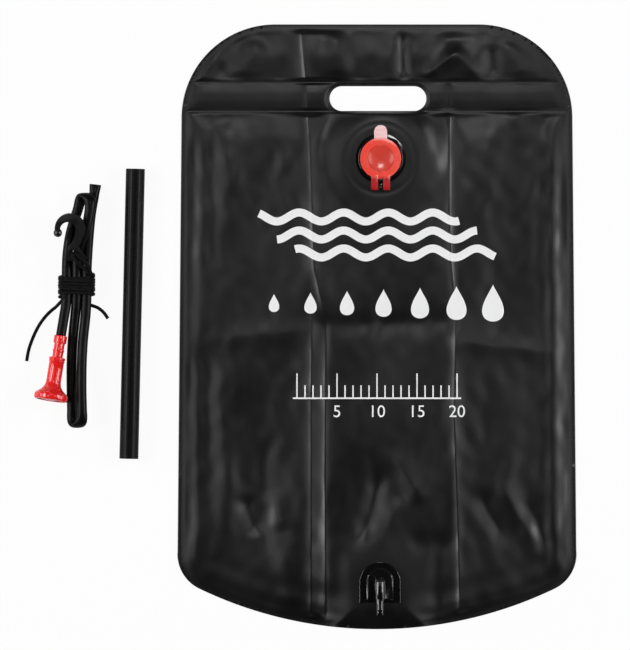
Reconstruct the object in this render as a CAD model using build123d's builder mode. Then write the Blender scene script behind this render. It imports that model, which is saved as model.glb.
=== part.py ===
from build123d import *
import math
import os

# A solar shower as it lies on the ground: a welded film bag with a filler, an outlet and a carrying slot,
# the loose handle rod beside it, and the hose bundle with its hook, tie cord and push-pull rose.
# Millimetres, +Z up, ground at z = 0, origin in the middle of the bag's underside, +Y towards the slot.
os.makedirs("parts", exist_ok=True)

running_fit = 0.2
rest_gap = 0.3
moulded_r = 0.5

# Bag film
bag_width = 398.0
bag_top_width = 388.0
bag_top_y = 302.0
bag_bottom_y = -301.6
bag_shoulder_y = -250.0
top_corner_r = 92.0
bottom_corner_r = 38.0
film = 0.8
weld_width = 5.0
flank_angle = 50.0

# Sleeve for the handle rod, across the top of the bag
sleeve_y = 230.5
sleeve_pitch = 29.0
sleeve_height = 5.2
sleeve_length = 366.0
slot_x = 1.0
slot_y = 228.5
slot_length = 97.0
slot_width = 25.0

# Water chamber below the sleeve
chamber_height = 8.0
chamber_corner_r = 14.0

# Filler neck and its cap
filler_x = 3.6
filler_y = 168.5
filler_bore_r = 15.5
neck_wall = 2.0
flange_r = 34.0
flange_thickness = 1.2
base_ring_r = 25.0
base_ring_height = 3.0
step_r = 22.3
neck_height = 5.2
neck_depth = 3.2
cap_r = 20.5
cap_thickness = 2.4
cap_dish_r = 13.25
cap_dish_depth = 2.0
cap_dish_crown = 1.2
cap_floor = 1.6
plug_clearance = 0.4
plug_depth = 5.6
tab_width = 13.0
tab_reach = 33.2
tab_thickness = 1.6
grip_length = 8.0
grip_width = 1.2
grip_height = 0.4
grip_pitch = 4.0
hinge_offset = 29.0
knuckle_r = 2.9
hinge_pin_r = 1.3
ear_width = 6.8
ear_gap = 5.2

# Outlet fitting near the bottom edge
outlet_x = 3.0
outlet_top_y = -235.0
outlet_bottom_y = -276.0
patch_width = 41.0
patch_thickness = 1.4
arch_width = 27.0
arch_height = 2.4
arch_inset = 6.0
arch_foot = 3.0
arch_draft = 30.0
spout_r = 5.2
spout_lift = 5.8
spout_start_y = -251.0
spout_shoulder_y = -272.0
barb_stem_r = 3.75
barb_r = 4.35
barb_length = 3.0
barb_stem_length = 10.0
spout_bore_r = 2.6

# Handle rod
rod_r = 9.5
rod_wall = 1.5
rod_length = 290.0
rod_x = -244.8
rod_y = 13.2
rod_turn = -1.3

# Hose, folded in three runs
hose_r = 4.75
hose_bore_r = 3.5

# Rose at the end of the hose: its axis runs from the collar down to the spray plate
rose_x = -316.0
rose_y = -9.0
rose_lean = -9.0
rose_tilt = 5.0
rose_rim_r = 17.0
rose_rim_at = 60.0
collar_r = 6.5
collar_length = 7.0
stem_r = 5.2
spigot_length = 9.0
spigot_clearance = 0.1
rib_at = 15.0
rib_r = 5.9
rib_width = 1.2
neck_into_head = 2.0
stem_bore_r = 2.2
head_start = 22.0
head_end = 63.0
head_r = 7.4
head_collar_r = 7.9
head_collar_length = 3.4
head_wall = 1.4
flare_at = 45.0
plate_r = 14.6
plate_seat = 1.8
plate_ledge = 1.4
valve_r = 4.2
valve_length = 22.0
port_from_tip = 7.0
upper_ring_from_head = 6.0
lower_ring_from_tip = 1.8
port_r = 1.3
o_ring_r = 0.9
plate_thickness = 1.6
plate_crown = 2.6
spray_hole_r = 0.7
spray_rings = 3
spray_pitch = 3.8

# Hook, a flat moulding in its own plane, measured from the middle of its outer arc
hook_x = -306.6
hook_y = 98.6
hook_under_z = 20.0
hook_tilt = 6.5
hook_thickness = 5.0
hook_edge_r = 1.0
hook_corner_r = 1.5
hook_bow = 2.6
hook_outer_r = 15.3
hook_inner_r = 7.6
hook_inner_shift = (-2.2, -1.0)
hook_mouth_angle = 17.0
hook_waist_left = -1.6
hook_waist_right = 8.6
hook_waist_at = -18.4
hook_base_at = -32.4
hook_base_left = -5.4
hook_base_right = 12.2
hook_spur = (17.3, -30.0)
hook_tip_r = 4.3
hook_tip = (-12.2, -4.3)
hook_eye = (4.0, -24.8)
hook_eye_length = 8.2
hook_eye_width = 5.6

# Tie cord
cord_r = 1.7
wrap_start_y = 55.0
wrap_end_y = 28.0
wrap_clearance = 0.3
bundle_z = 8.6
bundle_left_x = -310.3
bundle_right_x = -290.4


def outer_plane(x, y, z):
    """An upright section plane through (x, y, z): its own x is the radius and its own y is the height."""
    return Plane(origin=(x, y, z), x_dir=(1, 0, 0), z_dir=(0, -1, 0))


def side_x(y):
    """Half the bag's width at the height y: the sides run a little inwards towards the top."""
    share = (bag_top_y - y) / (bag_top_y - bag_shoulder_y)
    return (bag_top_width + share * (bag_width - bag_top_width)) / 2


def round_edges(solid, radius):
    """The solid's circular edges of one radius, lowest first."""
    circles = solid.edges().filter_by(GeomType.CIRCLE)
    return circles.filter_by(lambda edge: abs(edge.radius - radius) < 0.01).sort_by(Axis.Z)


def bag_shape(top_y, top_r, inset):
    """The bag's outline drawn "inset" inside its edge: straight sides, round corners, bowed bottom edge."""
    shoulder = side_x(bag_shoulder_y) - inset
    top = side_x(top_y) - inset
    with BuildSketch() as shape:
        with BuildLine():
            Polyline((shoulder, bag_shoulder_y), (top, top_y), (-top, top_y), (-shoulder, bag_shoulder_y))
            ThreePointArc((-shoulder, bag_shoulder_y), (0, bag_bottom_y + inset), (shoulder, bag_shoulder_y))
        make_face()
        fillet(shape.vertices().group_by(Axis.Y)[-1], radius=top_r)
        fillet(shape.vertices().sort_by(Axis.Y)[:2], radius=bottom_corner_r - inset)
    return shape.sketch


def sleeve_shape(inset):
    """The sleeve between its two weld lines, drawn "inset" inside them."""
    with BuildSketch() as shape:
        with Locations((0, sleeve_y)):
            Rectangle(sleeve_length - 2 * inset, sleeve_pitch - weld_width - 2 * inset)
        fillet(shape.vertices(), radius=weld_width - inset)
    return shape.sketch


def stadium(length, width):
    """The handle slot's outline."""
    with BuildSketch() as shape:
        with Locations((slot_x, slot_y)):
            SlotOverall(length, width)
    return shape.sketch


chamber_top_y = sleeve_y - sleeve_pitch / 2 - weld_width / 2
roof_under = film + chamber_height
roof_top = roof_under + film
skin = film / math.cos(math.radians(flank_angle))
slot_cut = stadium(slot_length, slot_width)

# Back sheet, flat on the ground
with BuildPart() as back_sheet:
    with BuildSketch():
        add(bag_shape(bag_top_y, top_corner_r, 0))
        add(slot_cut, mode=Mode.SUBTRACT)
    extrude(amount=film)
back_sheet.part.label = "back_sheet"

# Front sheet: the weld land, the raised sleeve and the raised water chamber, open underneath
with BuildPart() as front_sheet:
    with BuildSketch(Plane.XY.offset(film)):
        add(bag_shape(bag_top_y, top_corner_r, 0))
    extrude(amount=film)
    with BuildSketch(Plane.XY.offset(film)):
        add(bag_shape(chamber_top_y, chamber_corner_r, weld_width))
    extrude(amount=chamber_height + film, taper=flank_angle)
    with BuildSketch(Plane.XY.offset(film)):
        add(sleeve_shape(0))
    extrude(amount=sleeve_height + film, taper=flank_angle)
    with BuildSketch(Plane.XY.offset(film)):
        add(bag_shape(chamber_top_y - skin, chamber_corner_r - skin, weld_width + skin))
    extrude(amount=chamber_height, taper=flank_angle, mode=Mode.SUBTRACT)
    with BuildSketch(Plane.XY.offset(film)):
        add(sleeve_shape(skin))
    extrude(amount=sleeve_height, taper=flank_angle, mode=Mode.SUBTRACT)
    with BuildSketch(Plane.XY.offset(film)):
        add(slot_cut)
    extrude(amount=sleeve_height + 2 * film, mode=Mode.SUBTRACT)
    with Locations((filler_x, filler_y, roof_top)):
        Hole(radius=base_ring_r + running_fit, depth=2 * film)
    with Locations((outlet_x, outlet_top_y - patch_width / 2, roof_top)):
        Hole(radius=spout_bore_r, depth=2 * film)
front_sheet.part.label = "front_sheet"

# Filler neck: welded flange under the film, stepped ring above it, hinge lug with two pin stubs
filler_axis = Axis((filler_x, filler_y, 0), (0, 0, 1))
filler_section = outer_plane(filler_x, filler_y, roof_under)
hinge_y = filler_y - hinge_offset
hinge_z = roof_under + neck_height
lug_width = ear_gap - 2 * rest_gap
with BuildPart() as filler_neck:
    with BuildSketch(filler_section):
        with BuildLine():
            Polyline(
                (filler_bore_r, -neck_depth),
                (filler_bore_r + neck_wall, -neck_depth),
                (filler_bore_r + neck_wall, -flange_thickness),
                (flange_r, -flange_thickness),
                (flange_r, 0),
                (base_ring_r, 0),
                (base_ring_r, base_ring_height),
                (step_r, base_ring_height),
                (step_r, neck_height),
                (filler_bore_r, neck_height),
                close=True,
            )
        make_face()
    revolve(axis=filler_axis)
    fillet(round_edges(filler_neck, step_r)[-1], radius=moulded_r)
    with BuildSketch(Plane(origin=(filler_x, 0, 0), x_dir=(0, 1, 0), z_dir=(1, 0, 0))):
        with Locations((hinge_y, hinge_z)):
            Circle(knuckle_r - running_fit)
        with Locations((hinge_y, roof_top + rest_gap)):
            Rectangle(
                hinge_offset - step_r + neck_wall,
                hinge_z - roof_top - rest_gap,
                align=(Align.MIN, Align.MIN),
            )
    extrude(amount=lug_width / 2, both=True)
    with Locations(Location((filler_x, hinge_y, hinge_z), (0, 90, 0))):
        Cylinder(hinge_pin_r, ear_gap + 2 * ear_width)
filler_neck.part.label = "filler_neck"

# Filler cap: dished disc with a plug skirt, a pull tab and two hinge ears
cap_under = neck_height + running_fit
cap_top = cap_under + cap_thickness
plug_r = filler_bore_r - plug_clearance
dish_floor = cap_top - cap_dish_depth
dish_top = dish_floor + cap_dish_crown
with BuildPart() as filler_cap:
    with BuildSketch(filler_section):
        with BuildLine():
            Line((0, dish_top), (0, dish_top - cap_floor))
            TangentArc((0, dish_top - cap_floor), (cap_dish_r, dish_floor - cap_floor), tangent=(1, 0))
            Polyline(
                (cap_dish_r, dish_floor - cap_floor),
                (cap_dish_r, neck_height - plug_depth),
                (plug_r, neck_height - plug_depth),
                (plug_r, cap_under),
                (cap_r, cap_under),
                (cap_r, cap_top),
                (cap_dish_r, cap_top),
                (cap_dish_r, dish_floor),
            )
            TangentArc((0, dish_top), (cap_dish_r, dish_floor), tangent=(1, 0))
        make_face()
    revolve(axis=filler_axis)
    with BuildSketch(Plane.XY.offset(roof_under + cap_under)):
        with Locations((filler_x, filler_y + cap_dish_r)):
            Rectangle(tab_width, tab_reach - cap_dish_r - tab_width / 2, align=(Align.CENTER, Align.MIN))
        with Locations((filler_x, filler_y + tab_reach - tab_width / 2)):
            Circle(tab_width / 2)
        with Locations((filler_x, filler_y)):
            Circle((cap_dish_r + cap_r) / 2, mode=Mode.SUBTRACT)
    extrude(amount=tab_thickness)
    with BuildSketch(Plane.XY.offset(roof_under + cap_under + tab_thickness)):
        with Locations((filler_x, filler_y + tab_reach - tab_width / 2)):
            with GridLocations(0, grip_pitch, 1, 2):
                SlotOverall(grip_length, grip_width)
    extrude(amount=grip_height)
    for side in (-1, 1):
        ear_x = filler_x + side * (ear_gap + ear_width) / 2
        with BuildSketch(Plane(origin=(ear_x, 0, 0), x_dir=(0, 1, 0), z_dir=(1, 0, 0))):
            with Locations((hinge_y, hinge_z)):
                Circle(knuckle_r)
            with Locations((hinge_y, hinge_z + running_fit)):
                Rectangle(
                    hinge_offset - (cap_dish_r + cap_r) / 2,
                    knuckle_r - running_fit,
                    align=(Align.MIN, Align.MIN),
                )
            with Locations((hinge_y, hinge_z)):
                Circle(hinge_pin_r + running_fit, mode=Mode.SUBTRACT)
        extrude(amount=ear_width / 2, both=True)
    fillet(round_edges(filler_cap, cap_dish_r)[-1], radius=moulded_r)
filler_cap.part.label = "filler_cap"

# Outlet fitting: a welded tombstone patch, a raised arch and an elbow that ends in a barbed spout
spout_z = roof_top + spout_lift
patch_r = patch_width / 2
arch_r = arch_width / 2
barb_start_y = spout_shoulder_y - barb_stem_length
spout_end_y = barb_start_y - 2 * barb_length
with BuildPart() as outlet_fitting:
    with BuildSketch(Plane.XY.offset(roof_top)):
        with Locations((outlet_x, outlet_top_y - patch_r)):
            Circle(patch_r)
            Rectangle(patch_width, outlet_top_y - patch_r - outlet_bottom_y, align=(Align.CENTER, Align.MAX))
    extrude(amount=patch_thickness)
    fillet(outlet_fitting.edges().group_by(Axis.Z)[-1], radius=moulded_r)
    with BuildSketch(Plane.XY.offset(roof_top + patch_thickness)):
        with Locations((outlet_x, outlet_top_y - arch_inset - arch_r)):
            Circle(arch_r)
            Rectangle(
                arch_width,
                outlet_top_y - arch_inset - arch_r - outlet_bottom_y - arch_foot,
                align=(Align.CENTER, Align.MAX),
            )
    extrude(amount=arch_height, taper=arch_draft)
    with BuildSketch(Plane(origin=(outlet_x, 0, spout_z), x_dir=(1, 0, 0), z_dir=(0, 0, 1))):
        with BuildLine():
            ThreePointArc(
                (0, spout_start_y),
                (spout_r * math.sin(math.pi / 4), spout_start_y - spout_r * (1 - math.cos(math.pi / 4))),
                (spout_r, spout_start_y - spout_r),
            )
            Polyline(
                (spout_r, spout_start_y - spout_r),
                (spout_r, spout_shoulder_y),
                (barb_stem_r, spout_shoulder_y),
                (barb_stem_r, barb_start_y),
                (barb_r, barb_start_y),
                (barb_stem_r, barb_start_y - barb_length),
                (barb_r, barb_start_y - barb_length),
                (barb_stem_r, spout_end_y),
                (0, spout_end_y),
                (0, spout_start_y),
            )
        make_face()
    revolve(axis=Axis((outlet_x, 0, spout_z), (0, 1, 0)))
    with Locations(Location((outlet_x, spout_end_y, spout_z), (90, 0, 0))):
        Hole(radius=spout_bore_r, depth=outlet_top_y - patch_r - spout_end_y)
    with BuildSketch(Plane.XY.offset(roof_top)):
        with Locations((outlet_x, outlet_top_y - patch_r)):
            Circle(spout_bore_r)
    extrude(amount=spout_lift, mode=Mode.SUBTRACT)
outlet_fitting.part.label = "outlet_fitting"

# Handle rod: a plain tube that slides into the sleeve when the bag is carried
with BuildPart() as handle_rod:
    with BuildSketch(
        Plane(
            origin=(rod_x, rod_y, rod_r),
            x_dir=(math.cos(math.radians(rod_turn)), math.sin(math.radians(rod_turn)), 0),
            z_dir=(-math.sin(math.radians(rod_turn)), math.cos(math.radians(rod_turn)), 0),
        )
    ):
        Circle(rod_r)
        Circle(rod_r - rod_wall, mode=Mode.SUBTRACT)
    extrude(amount=rod_length / 2, both=True)
    fillet(round_edges(handle_rod, rod_r), radius=moulded_r)
handle_rod.part.label = "handle_rod"

# Rose frame: origin at the collar's hose end, "along" points down the rose to the spray plate
lean = math.radians(rose_lean)
tilt = math.radians(rose_tilt)
along = Vector(math.sin(lean) * math.cos(tilt), -math.cos(lean) * math.cos(tilt), math.sin(tilt))
across = Vector(math.cos(lean), math.sin(lean), 0)
rose_z = rose_rim_r * math.cos(tilt) + rest_gap - rose_rim_at * math.sin(tilt)
rose_origin = Vector(rose_x, rose_y, rose_z)
rose_axis = Axis(rose_origin, along)
rose_section = Plane(origin=rose_origin, x_dir=across, z_dir=across.cross(along))


def rose_cross(at):
    """The plane across the rose at the distance "at" from the collar's hose end."""
    return Plane(origin=rose_origin + along * at, x_dir=across, z_dir=along)


# Rose stem: hose spigot, collar and ribbed neck outside, hollow valve spindle with a closed tip inside
valve_end = head_start + valve_length
port_at = valve_end - port_from_tip
ring_at = (head_start + upper_ring_from_head, valve_end - lower_ring_from_tip)
groove_width = 2 * o_ring_r + running_fit
groove_r = valve_r - o_ring_r
with BuildPart() as rose_stem:
    with BuildSketch(rose_section):
        with BuildLine():
            Polyline(
                (0, -spigot_length),
                (hose_bore_r - spigot_clearance, -spigot_length),
                (hose_bore_r - spigot_clearance, 0),
                (collar_r, 0),
                (collar_r, collar_length),
                (stem_r, collar_length + 0.8),
                (stem_r, rib_at - rib_width),
                (rib_r, rib_at - rib_width / 2),
                (rib_r, rib_at + rib_width / 2),
                (stem_r, rib_at + rib_width),
                (stem_r, head_start + neck_into_head),
                (valve_r, head_start + neck_into_head + 1.0),
                (valve_r, ring_at[0] - groove_width / 2),
                (groove_r, ring_at[0] - groove_width / 2),
                (groove_r, ring_at[0] + groove_width / 2),
                (valve_r, ring_at[0] + groove_width / 2),
                (valve_r, ring_at[1] - groove_width / 2),
                (groove_r, ring_at[1] - groove_width / 2),
                (groove_r, ring_at[1] + groove_width / 2),
                (valve_r, ring_at[1] + groove_width / 2),
                (valve_r, valve_end),
                (0, valve_end),
                close=True,
            )
        make_face()
    revolve(axis=rose_axis)
    with BuildSketch(rose_cross(-spigot_length)):
        Circle(stem_bore_r)
    extrude(amount=spigot_length + port_at + port_r, mode=Mode.SUBTRACT)
    for port_angle in (45, 135):
        port_axis = across.rotate(Axis((0, 0, 0), along), port_angle)
        with BuildSketch(Plane(origin=rose_origin + along * port_at, x_dir=along, z_dir=port_axis)):
            Circle(port_r)
        extrude(amount=valve_r, both=True, mode=Mode.SUBTRACT)
rose_stem.part.label = "rose_stem"

# O-rings on the spindle: the upper one always seals, the lower one shuts the water off
with BuildPart() as rose_o_rings:
    with BuildSketch(rose_section):
        for at in ring_at:
            with Locations((groove_r + o_ring_r + rest_gap / 6, at)):
                Circle(o_ring_r)
    revolve(axis=rose_axis)
rose_o_rings.part.label = "rose_o_rings"

# Rose head: a tube with a collar rim that flares to the spray face, bored for the spindle
bore_r = valve_r + o_ring_r + 2 * spigot_clearance
bore_end = valve_end + rest_gap
with BuildPart() as rose_head:
    with BuildSketch(rose_section):
        with BuildLine():
            Polyline(
                (stem_r + running_fit, head_start),
                (head_collar_r, head_start),
                (head_collar_r, head_start + head_collar_length),
                (head_r, head_start + head_collar_length),
                (head_r, flare_at),
            )
            Bezier(
                (head_r, flare_at),
                (head_r, flare_at + 0.55 * (rose_rim_at - flare_at)),
                (rose_rim_r - 3.5, rose_rim_at - 4.5),
                (rose_rim_r, rose_rim_at),
            )
            Polyline(
                (rose_rim_r, rose_rim_at),
                (rose_rim_r - 0.3, head_end),
                (plate_r + running_fit, head_end),
                (plate_r + running_fit, head_end - plate_seat),
                (plate_r - plate_ledge, head_end - plate_seat),
            )
            Bezier(
                (plate_r - plate_ledge, head_end - plate_seat),
                (rose_rim_r - 5.5, rose_rim_at - 3.0),
                (bore_r + head_wall, bore_end + 3.0),
                (bore_r, bore_end),
            )
            Polyline(
                (bore_r, bore_end),
                (bore_r, head_start + neck_into_head + 2.0),
                (stem_r + running_fit, head_start + neck_into_head + 1.0),
                (stem_r + running_fit, head_start),
            )
        make_face()
    revolve(axis=rose_axis)
rose_head.part.label = "rose_head"

# Spray plate: a shallow dome with rings of fine holes, seated in the head's mouth
plate_top = head_end + plate_crown
plate_under = head_end - plate_thickness
with BuildPart() as spray_plate:
    with BuildSketch(rose_section):
        with BuildLine():
            Line((0, plate_top), (0, plate_top - plate_thickness))
            TangentArc((0, plate_top - plate_thickness), (plate_r, plate_under), tangent=(1, 0))
            Line((plate_r, plate_under), (plate_r, head_end))
            TangentArc((0, plate_top), (plate_r, head_end), tangent=(1, 0))
        make_face()
    revolve(axis=rose_axis)
    with BuildSketch(rose_cross(plate_under)):
        for ring in range(1, spray_rings + 1):
            with PolarLocations(ring * spray_pitch, 6 * ring):
                Circle(spray_hole_r)
        Circle(spray_hole_r)
    extrude(amount=plate_crown + 2 * plate_thickness, mode=Mode.SUBTRACT)
spray_plate.part.label = "spray_plate"

# Hose: one soft tube from the rose spigot, up and down the bundle twice, to its free end
hose_route = [
    (-315.97, -8.8, 11.99),
    (-313.35, 7.73, 10.52),
    (-310.3, 24.5, 8.6),
    (-310.3, 57.5, 8.6),
    (-309.6, 74.0, 7.4),
    (-307.0, 92.0, 5.8),
    (-302.8, 107.0, 4.95),
    (-298.9, 118.0, 4.95),
    (-297.0, 126.9, 4.95),
    (-293.9, 131.2, 8.0),
    (-289.6, 131.2, 12.4),
    (-286.5, 126.9, 15.5),
    (-287.0, 116.0, 15.2),
    (-289.8, 101.0, 14.9),
    (-296.2, 84.0, 12.8),
    (-299.9, 70.0, 9.9),
    (-300.35, 57.0, 8.6),
    (-300.35, 25.0, 8.6),
    (-302.0, 9.0, 6.6),
    (-304.4, -12.0, 4.95),
    (-305.6, -37.0, 4.95),
    (-305.5, -62.0, 4.95),
    (-305.0, -80.0, 4.95),
    (-304.8, -93.2, 4.95),
    (-301.8, -97.8, 8.45),
    (-297.6, -97.8, 13.45),
    (-294.6, -93.2, 17.0),
    (-294.9, -80.0, 16.6),
    (-295.4, -60.0, 14.6),
    (-295.2, -36.0, 11.6),
    (-294.0, -12.0, 9.4),
    (-291.6, 8.0, 8.7),
    (-290.4, 25.0, 8.6),
    (-290.4, 57.0, 8.6),
    (-289.6, 72.0, 7.2),
    (-288.4, 90.0, 5.4),
    (-286.9, 107.0, 4.95),
    (-285.2, 120.0, 4.95),
    (-282.8, 131.5, 5.0),
    (-281.6, 142.5, 5.6),
]
left_strand_route = [
    (-304.45, 74.0, 17.2),
    (-304.45, 73.0, 26.2),
    (-302.6, 68.4, 25.7),
    (-299.0, 63.8, 22.8),
    (-294.2, 59.8, 17.9),
    (-291.2, 57.8, 15.3),
    (-291.2, 55.1, 15.3),
]
right_strand_route = [
    (-300.75, 74.0, 17.2),
    (-300.75, 73.2, 26.2),
    (-296.6, 69.6, 25.7),
    (-291.8, 65.0, 22.6),
    (-288.2, 60.8, 17.2),
    (-286.9, 58.0, 14.3),
    (-286.9, 55.1, 14.3),
]
left_tail_route = [
    (-316.4, 27.9, 5.7),
    (-316.4, 24.2, 5.7),
    (-320.4, 20.4, 3.6),
    (-326.2, 16.2, 2.0),
    (-332.6, 9.6, 1.8),
    (-338.4, 1.4, 1.8),
    (-343.2, -8.2, 1.8),
    (-347.2, -18.4, 1.8),
    (-349.6, -27.6, 1.8),
    (-350.4, -34.2, 1.8),
]
right_tail_route = [
    (-286.1, 27.9, 3.5),
    (-286.1, 24.6, 3.5),
    (-282.0, 20.9, 2.2),
    (-276.6, 17.6, 1.8),
    (-272.2, 13.4, 1.8),
    (-269.2, 8.4, 1.8),
]


def corner_radii(points):
    """One arc radius for each inner point: 0.45 of the shorter run over the tangent of half the turn."""
    radii = []
    for before, here, after in zip(points, points[1:], points[2:]):
        run_in = Vector(here) - Vector(before)
        run_out = Vector(after) - Vector(here)
        turn = math.radians(run_in.get_angle(run_out))
        radii.append(0.45 * min(run_in.length, run_out.length) / math.tan(turn / 2))
    return radii


def round_route(points):
    """The route as straight runs joined by tangent arcs, and prints its length and smallest radius."""
    radii = corner_radii(points)
    with BuildLine() as line:
        FilletPolyline(*points, radius=radii)
    wire = line.wires()[0]
    print("route length", round(wire.length, 1), "radii", [round(r) for r in radii])
    return wire


def cord_tube(points, radius, bore_r=0):
    """A plain tube or cord along a route."""
    path = round_route(points)
    with BuildPart() as tube:
        with BuildSketch(Plane(origin=path @ 0, z_dir=path % 0)):
            Circle(radius)
            if bore_r:
                Circle(bore_r, mode=Mode.SUBTRACT)
        sweep(path=path)
    plain_volume = math.pi * (radius**2 - bore_r**2) * path.length
    print("volume over section times length", tube.part.volume / plain_volume)
    return tube


hose = cord_tube(hose_route, hose_r, hose_bore_r)
hose.part.label = "hose"

# Hook: a question-mark band with a ball tip, widening to a base with an eye for the cord
hook_plane = Plane(
    origin=(hook_x, hook_y, hook_under_z),
    x_dir=(1, 0, 0),
    z_dir=(0, -math.sin(math.radians(hook_tilt)), math.cos(math.radians(hook_tilt))),
)
mouth = math.radians(hook_mouth_angle)
outer_end = (hook_outer_r * math.cos(mouth), -hook_outer_r * math.sin(mouth))
inner_end = (
    hook_inner_shift[0] + hook_inner_r * math.cos(mouth),
    hook_inner_shift[1] - hook_inner_r * math.sin(mouth),
)
inner_start = (2 * hook_inner_shift[0] - inner_end[0], inner_end[1])
waist_left = (hook_waist_left, hook_waist_at)
waist_right = (hook_waist_right, hook_waist_at)
outer_bow = (outer_end[0] - hook_bow, (outer_end[1] + hook_waist_at) / 2)
inner_bow = (
    (inner_end[0] + hook_waist_left + hook_bow) / 2,
    (inner_end[1] + hook_waist_at - hook_bow) / 2,
)
with BuildPart() as hook:
    with BuildSketch(hook_plane) as hook_outline:
        with BuildLine():
            ThreePointArc((-outer_end[0], outer_end[1]), (0, hook_outer_r), outer_end)
            ThreePointArc(outer_end, outer_bow, waist_right)
            Polyline(
                waist_right,
                hook_spur,
                (hook_base_right, hook_base_at),
                (hook_base_left, hook_base_at),
                waist_left,
            )
            ThreePointArc(waist_left, inner_bow, inner_end)
            ThreePointArc(inner_end, (hook_inner_shift[0], hook_inner_shift[1] + hook_inner_r), inner_start)
            Line(inner_start, (-outer_end[0], outer_end[1]))
        make_face()
        fillet(hook_outline.vertices().sort_by(Axis.Y)[:3], radius=hook_corner_r)
        with Locations(hook_eye):
            SlotOverall(hook_eye_length, hook_eye_width, mode=Mode.SUBTRACT)
    extrude(amount=hook_thickness)
    hook_faces = hook.faces().sort_by(Axis(hook_plane.origin, hook_plane.z_dir))
    for hook_face in (hook_faces[0], hook_faces[-1]):
        fillet(hook_face.inner_wires()[0].edges(), radius=hook_edge_r)
    tip_middle = hook_plane.offset(hook_thickness / 2)
    with Locations(Location(tip_middle.from_local_coords(hook_tip))):
        Sphere(hook_tip_r)
hook.part.label = "hook"

# Tie cord: two strands from the hook's eye, wound together round the bundle, each with a loose tail
wrap_inner_r = hose_r + wrap_clearance
bundle_mid_x = (bundle_left_x + bundle_right_x) / 2
bundle_pitch = bundle_right_x - bundle_left_x
with BuildPart() as tie_cord_wraps:
    with BuildSketch(Plane(origin=(bundle_mid_x, wrap_end_y, bundle_z), x_dir=(-1, 0, 0), z_dir=(0, 1, 0))):
        SlotCenterToCenter(bundle_pitch, 2 * (wrap_inner_r + 2 * cord_r))
        SlotCenterToCenter(bundle_pitch, 2 * wrap_inner_r, mode=Mode.SUBTRACT)
    extrude(amount=wrap_start_y - wrap_end_y)
tie_cord_wraps.part.label = "tie_cord_wraps"

tie_cord_left_strand = cord_tube(left_strand_route, cord_r)
tie_cord_left_strand.part.label = "tie_cord_left_strand"
tie_cord_right_strand = cord_tube(right_strand_route, cord_r)
tie_cord_right_strand.part.label = "tie_cord_right_strand"
tie_cord_left_tail = cord_tube(left_tail_route, cord_r)
tie_cord_left_tail.part.label = "tie_cord_left_tail"
tie_cord_right_tail = cord_tube(right_tail_route, cord_r)
tie_cord_right_tail.part.label = "tie_cord_right_tail"

for item in (
    back_sheet,
    front_sheet,
    filler_neck,
    filler_cap,
    outlet_fitting,
    handle_rod,
    rose_stem,
    rose_o_rings,
    rose_head,
    spray_plate,
    hose,
    hook,
    tie_cord_wraps,
    tie_cord_left_strand,
    tie_cord_right_strand,
    tie_cord_left_tail,
    tie_cord_right_tail,
):
    export_step(item.part, "parts/" + item.part.label + ".step")
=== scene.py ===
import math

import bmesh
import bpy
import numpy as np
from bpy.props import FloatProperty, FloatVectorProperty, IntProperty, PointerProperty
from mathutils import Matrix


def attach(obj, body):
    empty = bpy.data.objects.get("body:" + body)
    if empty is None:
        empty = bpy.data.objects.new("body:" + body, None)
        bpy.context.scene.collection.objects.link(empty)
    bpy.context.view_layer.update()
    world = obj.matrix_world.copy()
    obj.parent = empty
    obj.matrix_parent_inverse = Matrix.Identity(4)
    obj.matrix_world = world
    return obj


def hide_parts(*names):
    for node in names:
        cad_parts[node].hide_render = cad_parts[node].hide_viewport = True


bl_info = {
    "name": "Solar shower set",
    "version": (1, 0, 0),
    "blender": (4, 5, 0),
    "location": "View3D > Sidebar > Solar shower",
    "description": "Builds the film bag, fittings, rod and hose bundle of a solar shower round their fixed frame",
    "category": "Object",
}

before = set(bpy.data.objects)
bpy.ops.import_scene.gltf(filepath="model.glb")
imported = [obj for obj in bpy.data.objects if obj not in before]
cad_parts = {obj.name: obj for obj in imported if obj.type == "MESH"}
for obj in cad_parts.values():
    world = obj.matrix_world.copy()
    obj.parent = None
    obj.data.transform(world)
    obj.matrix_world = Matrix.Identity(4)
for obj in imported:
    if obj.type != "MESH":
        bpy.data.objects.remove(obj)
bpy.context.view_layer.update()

MM = 0.001
TAU = 2 * math.pi
PHOTO_HEIGHT = 650

# Bag outline, in millimetres in the row frame
BAG_TOP = 302.0
BAG_BOTTOM = -301.6
SIDE_AT_TOP = 194.0
SIDE_AT_SHOULDER = 199.0
SHOULDER = -250.0
TOP_CORNER = 92.0
BOTTOM_CORNER = 38.0
BOW_RADIUS = (SIDE_AT_SHOULDER**2 + (SHOULDER - BAG_BOTTOM) ** 2) / (2 * (SHOULDER - BAG_BOTTOM))
BOW_CENTRE = BAG_BOTTOM + BOW_RADIUS
SEAM = 4.5
SLOT_CENTRE = (1.0, 228.5)
SLOT_LENGTH = 97.0
SLOT_WIDTH = 25.0
SLOT_REACH = (SLOT_LENGTH - SLOT_WIDTH) / 2
WELDS = (245.0, 216.0)

# Front film: the height of its weld land and of its cross welds, then for each of its three parts the step at the
# weld, the rise and how far the rise reaches, and last the broad pillow of the water chamber
FILM_LAND = 1.7
CROSS_WELD = 1.9
CHAMBER_RISE = (0.9, 1.5, 30)
SLEEVE_RISE = (0.5, 0.7, 12)
PANEL_RISE = (0.7, 1.2, 30)
PILLOW = 3.6
CHAMBER_FOLD_GAIN = 1.2
TOP_FOLD_GAIN = 1.5

# Fittings
FILLER = (3.6, 168.5)
FILM_AT_FITTINGS = 9.6
BASE_RING = 24.9
FLANGE = 34.0
DISH = 13.25
DISH_FLOOR = 14.4
DISH_DEPTH = 1.7
TAB_START = 188.5
EARS_END = 148.0
OUTLET_X = 3.0
OUTLET_TOP = -235.0
OUTLET_FOOT = -276.0
OUTLET_WIDTH = 41.0

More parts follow.
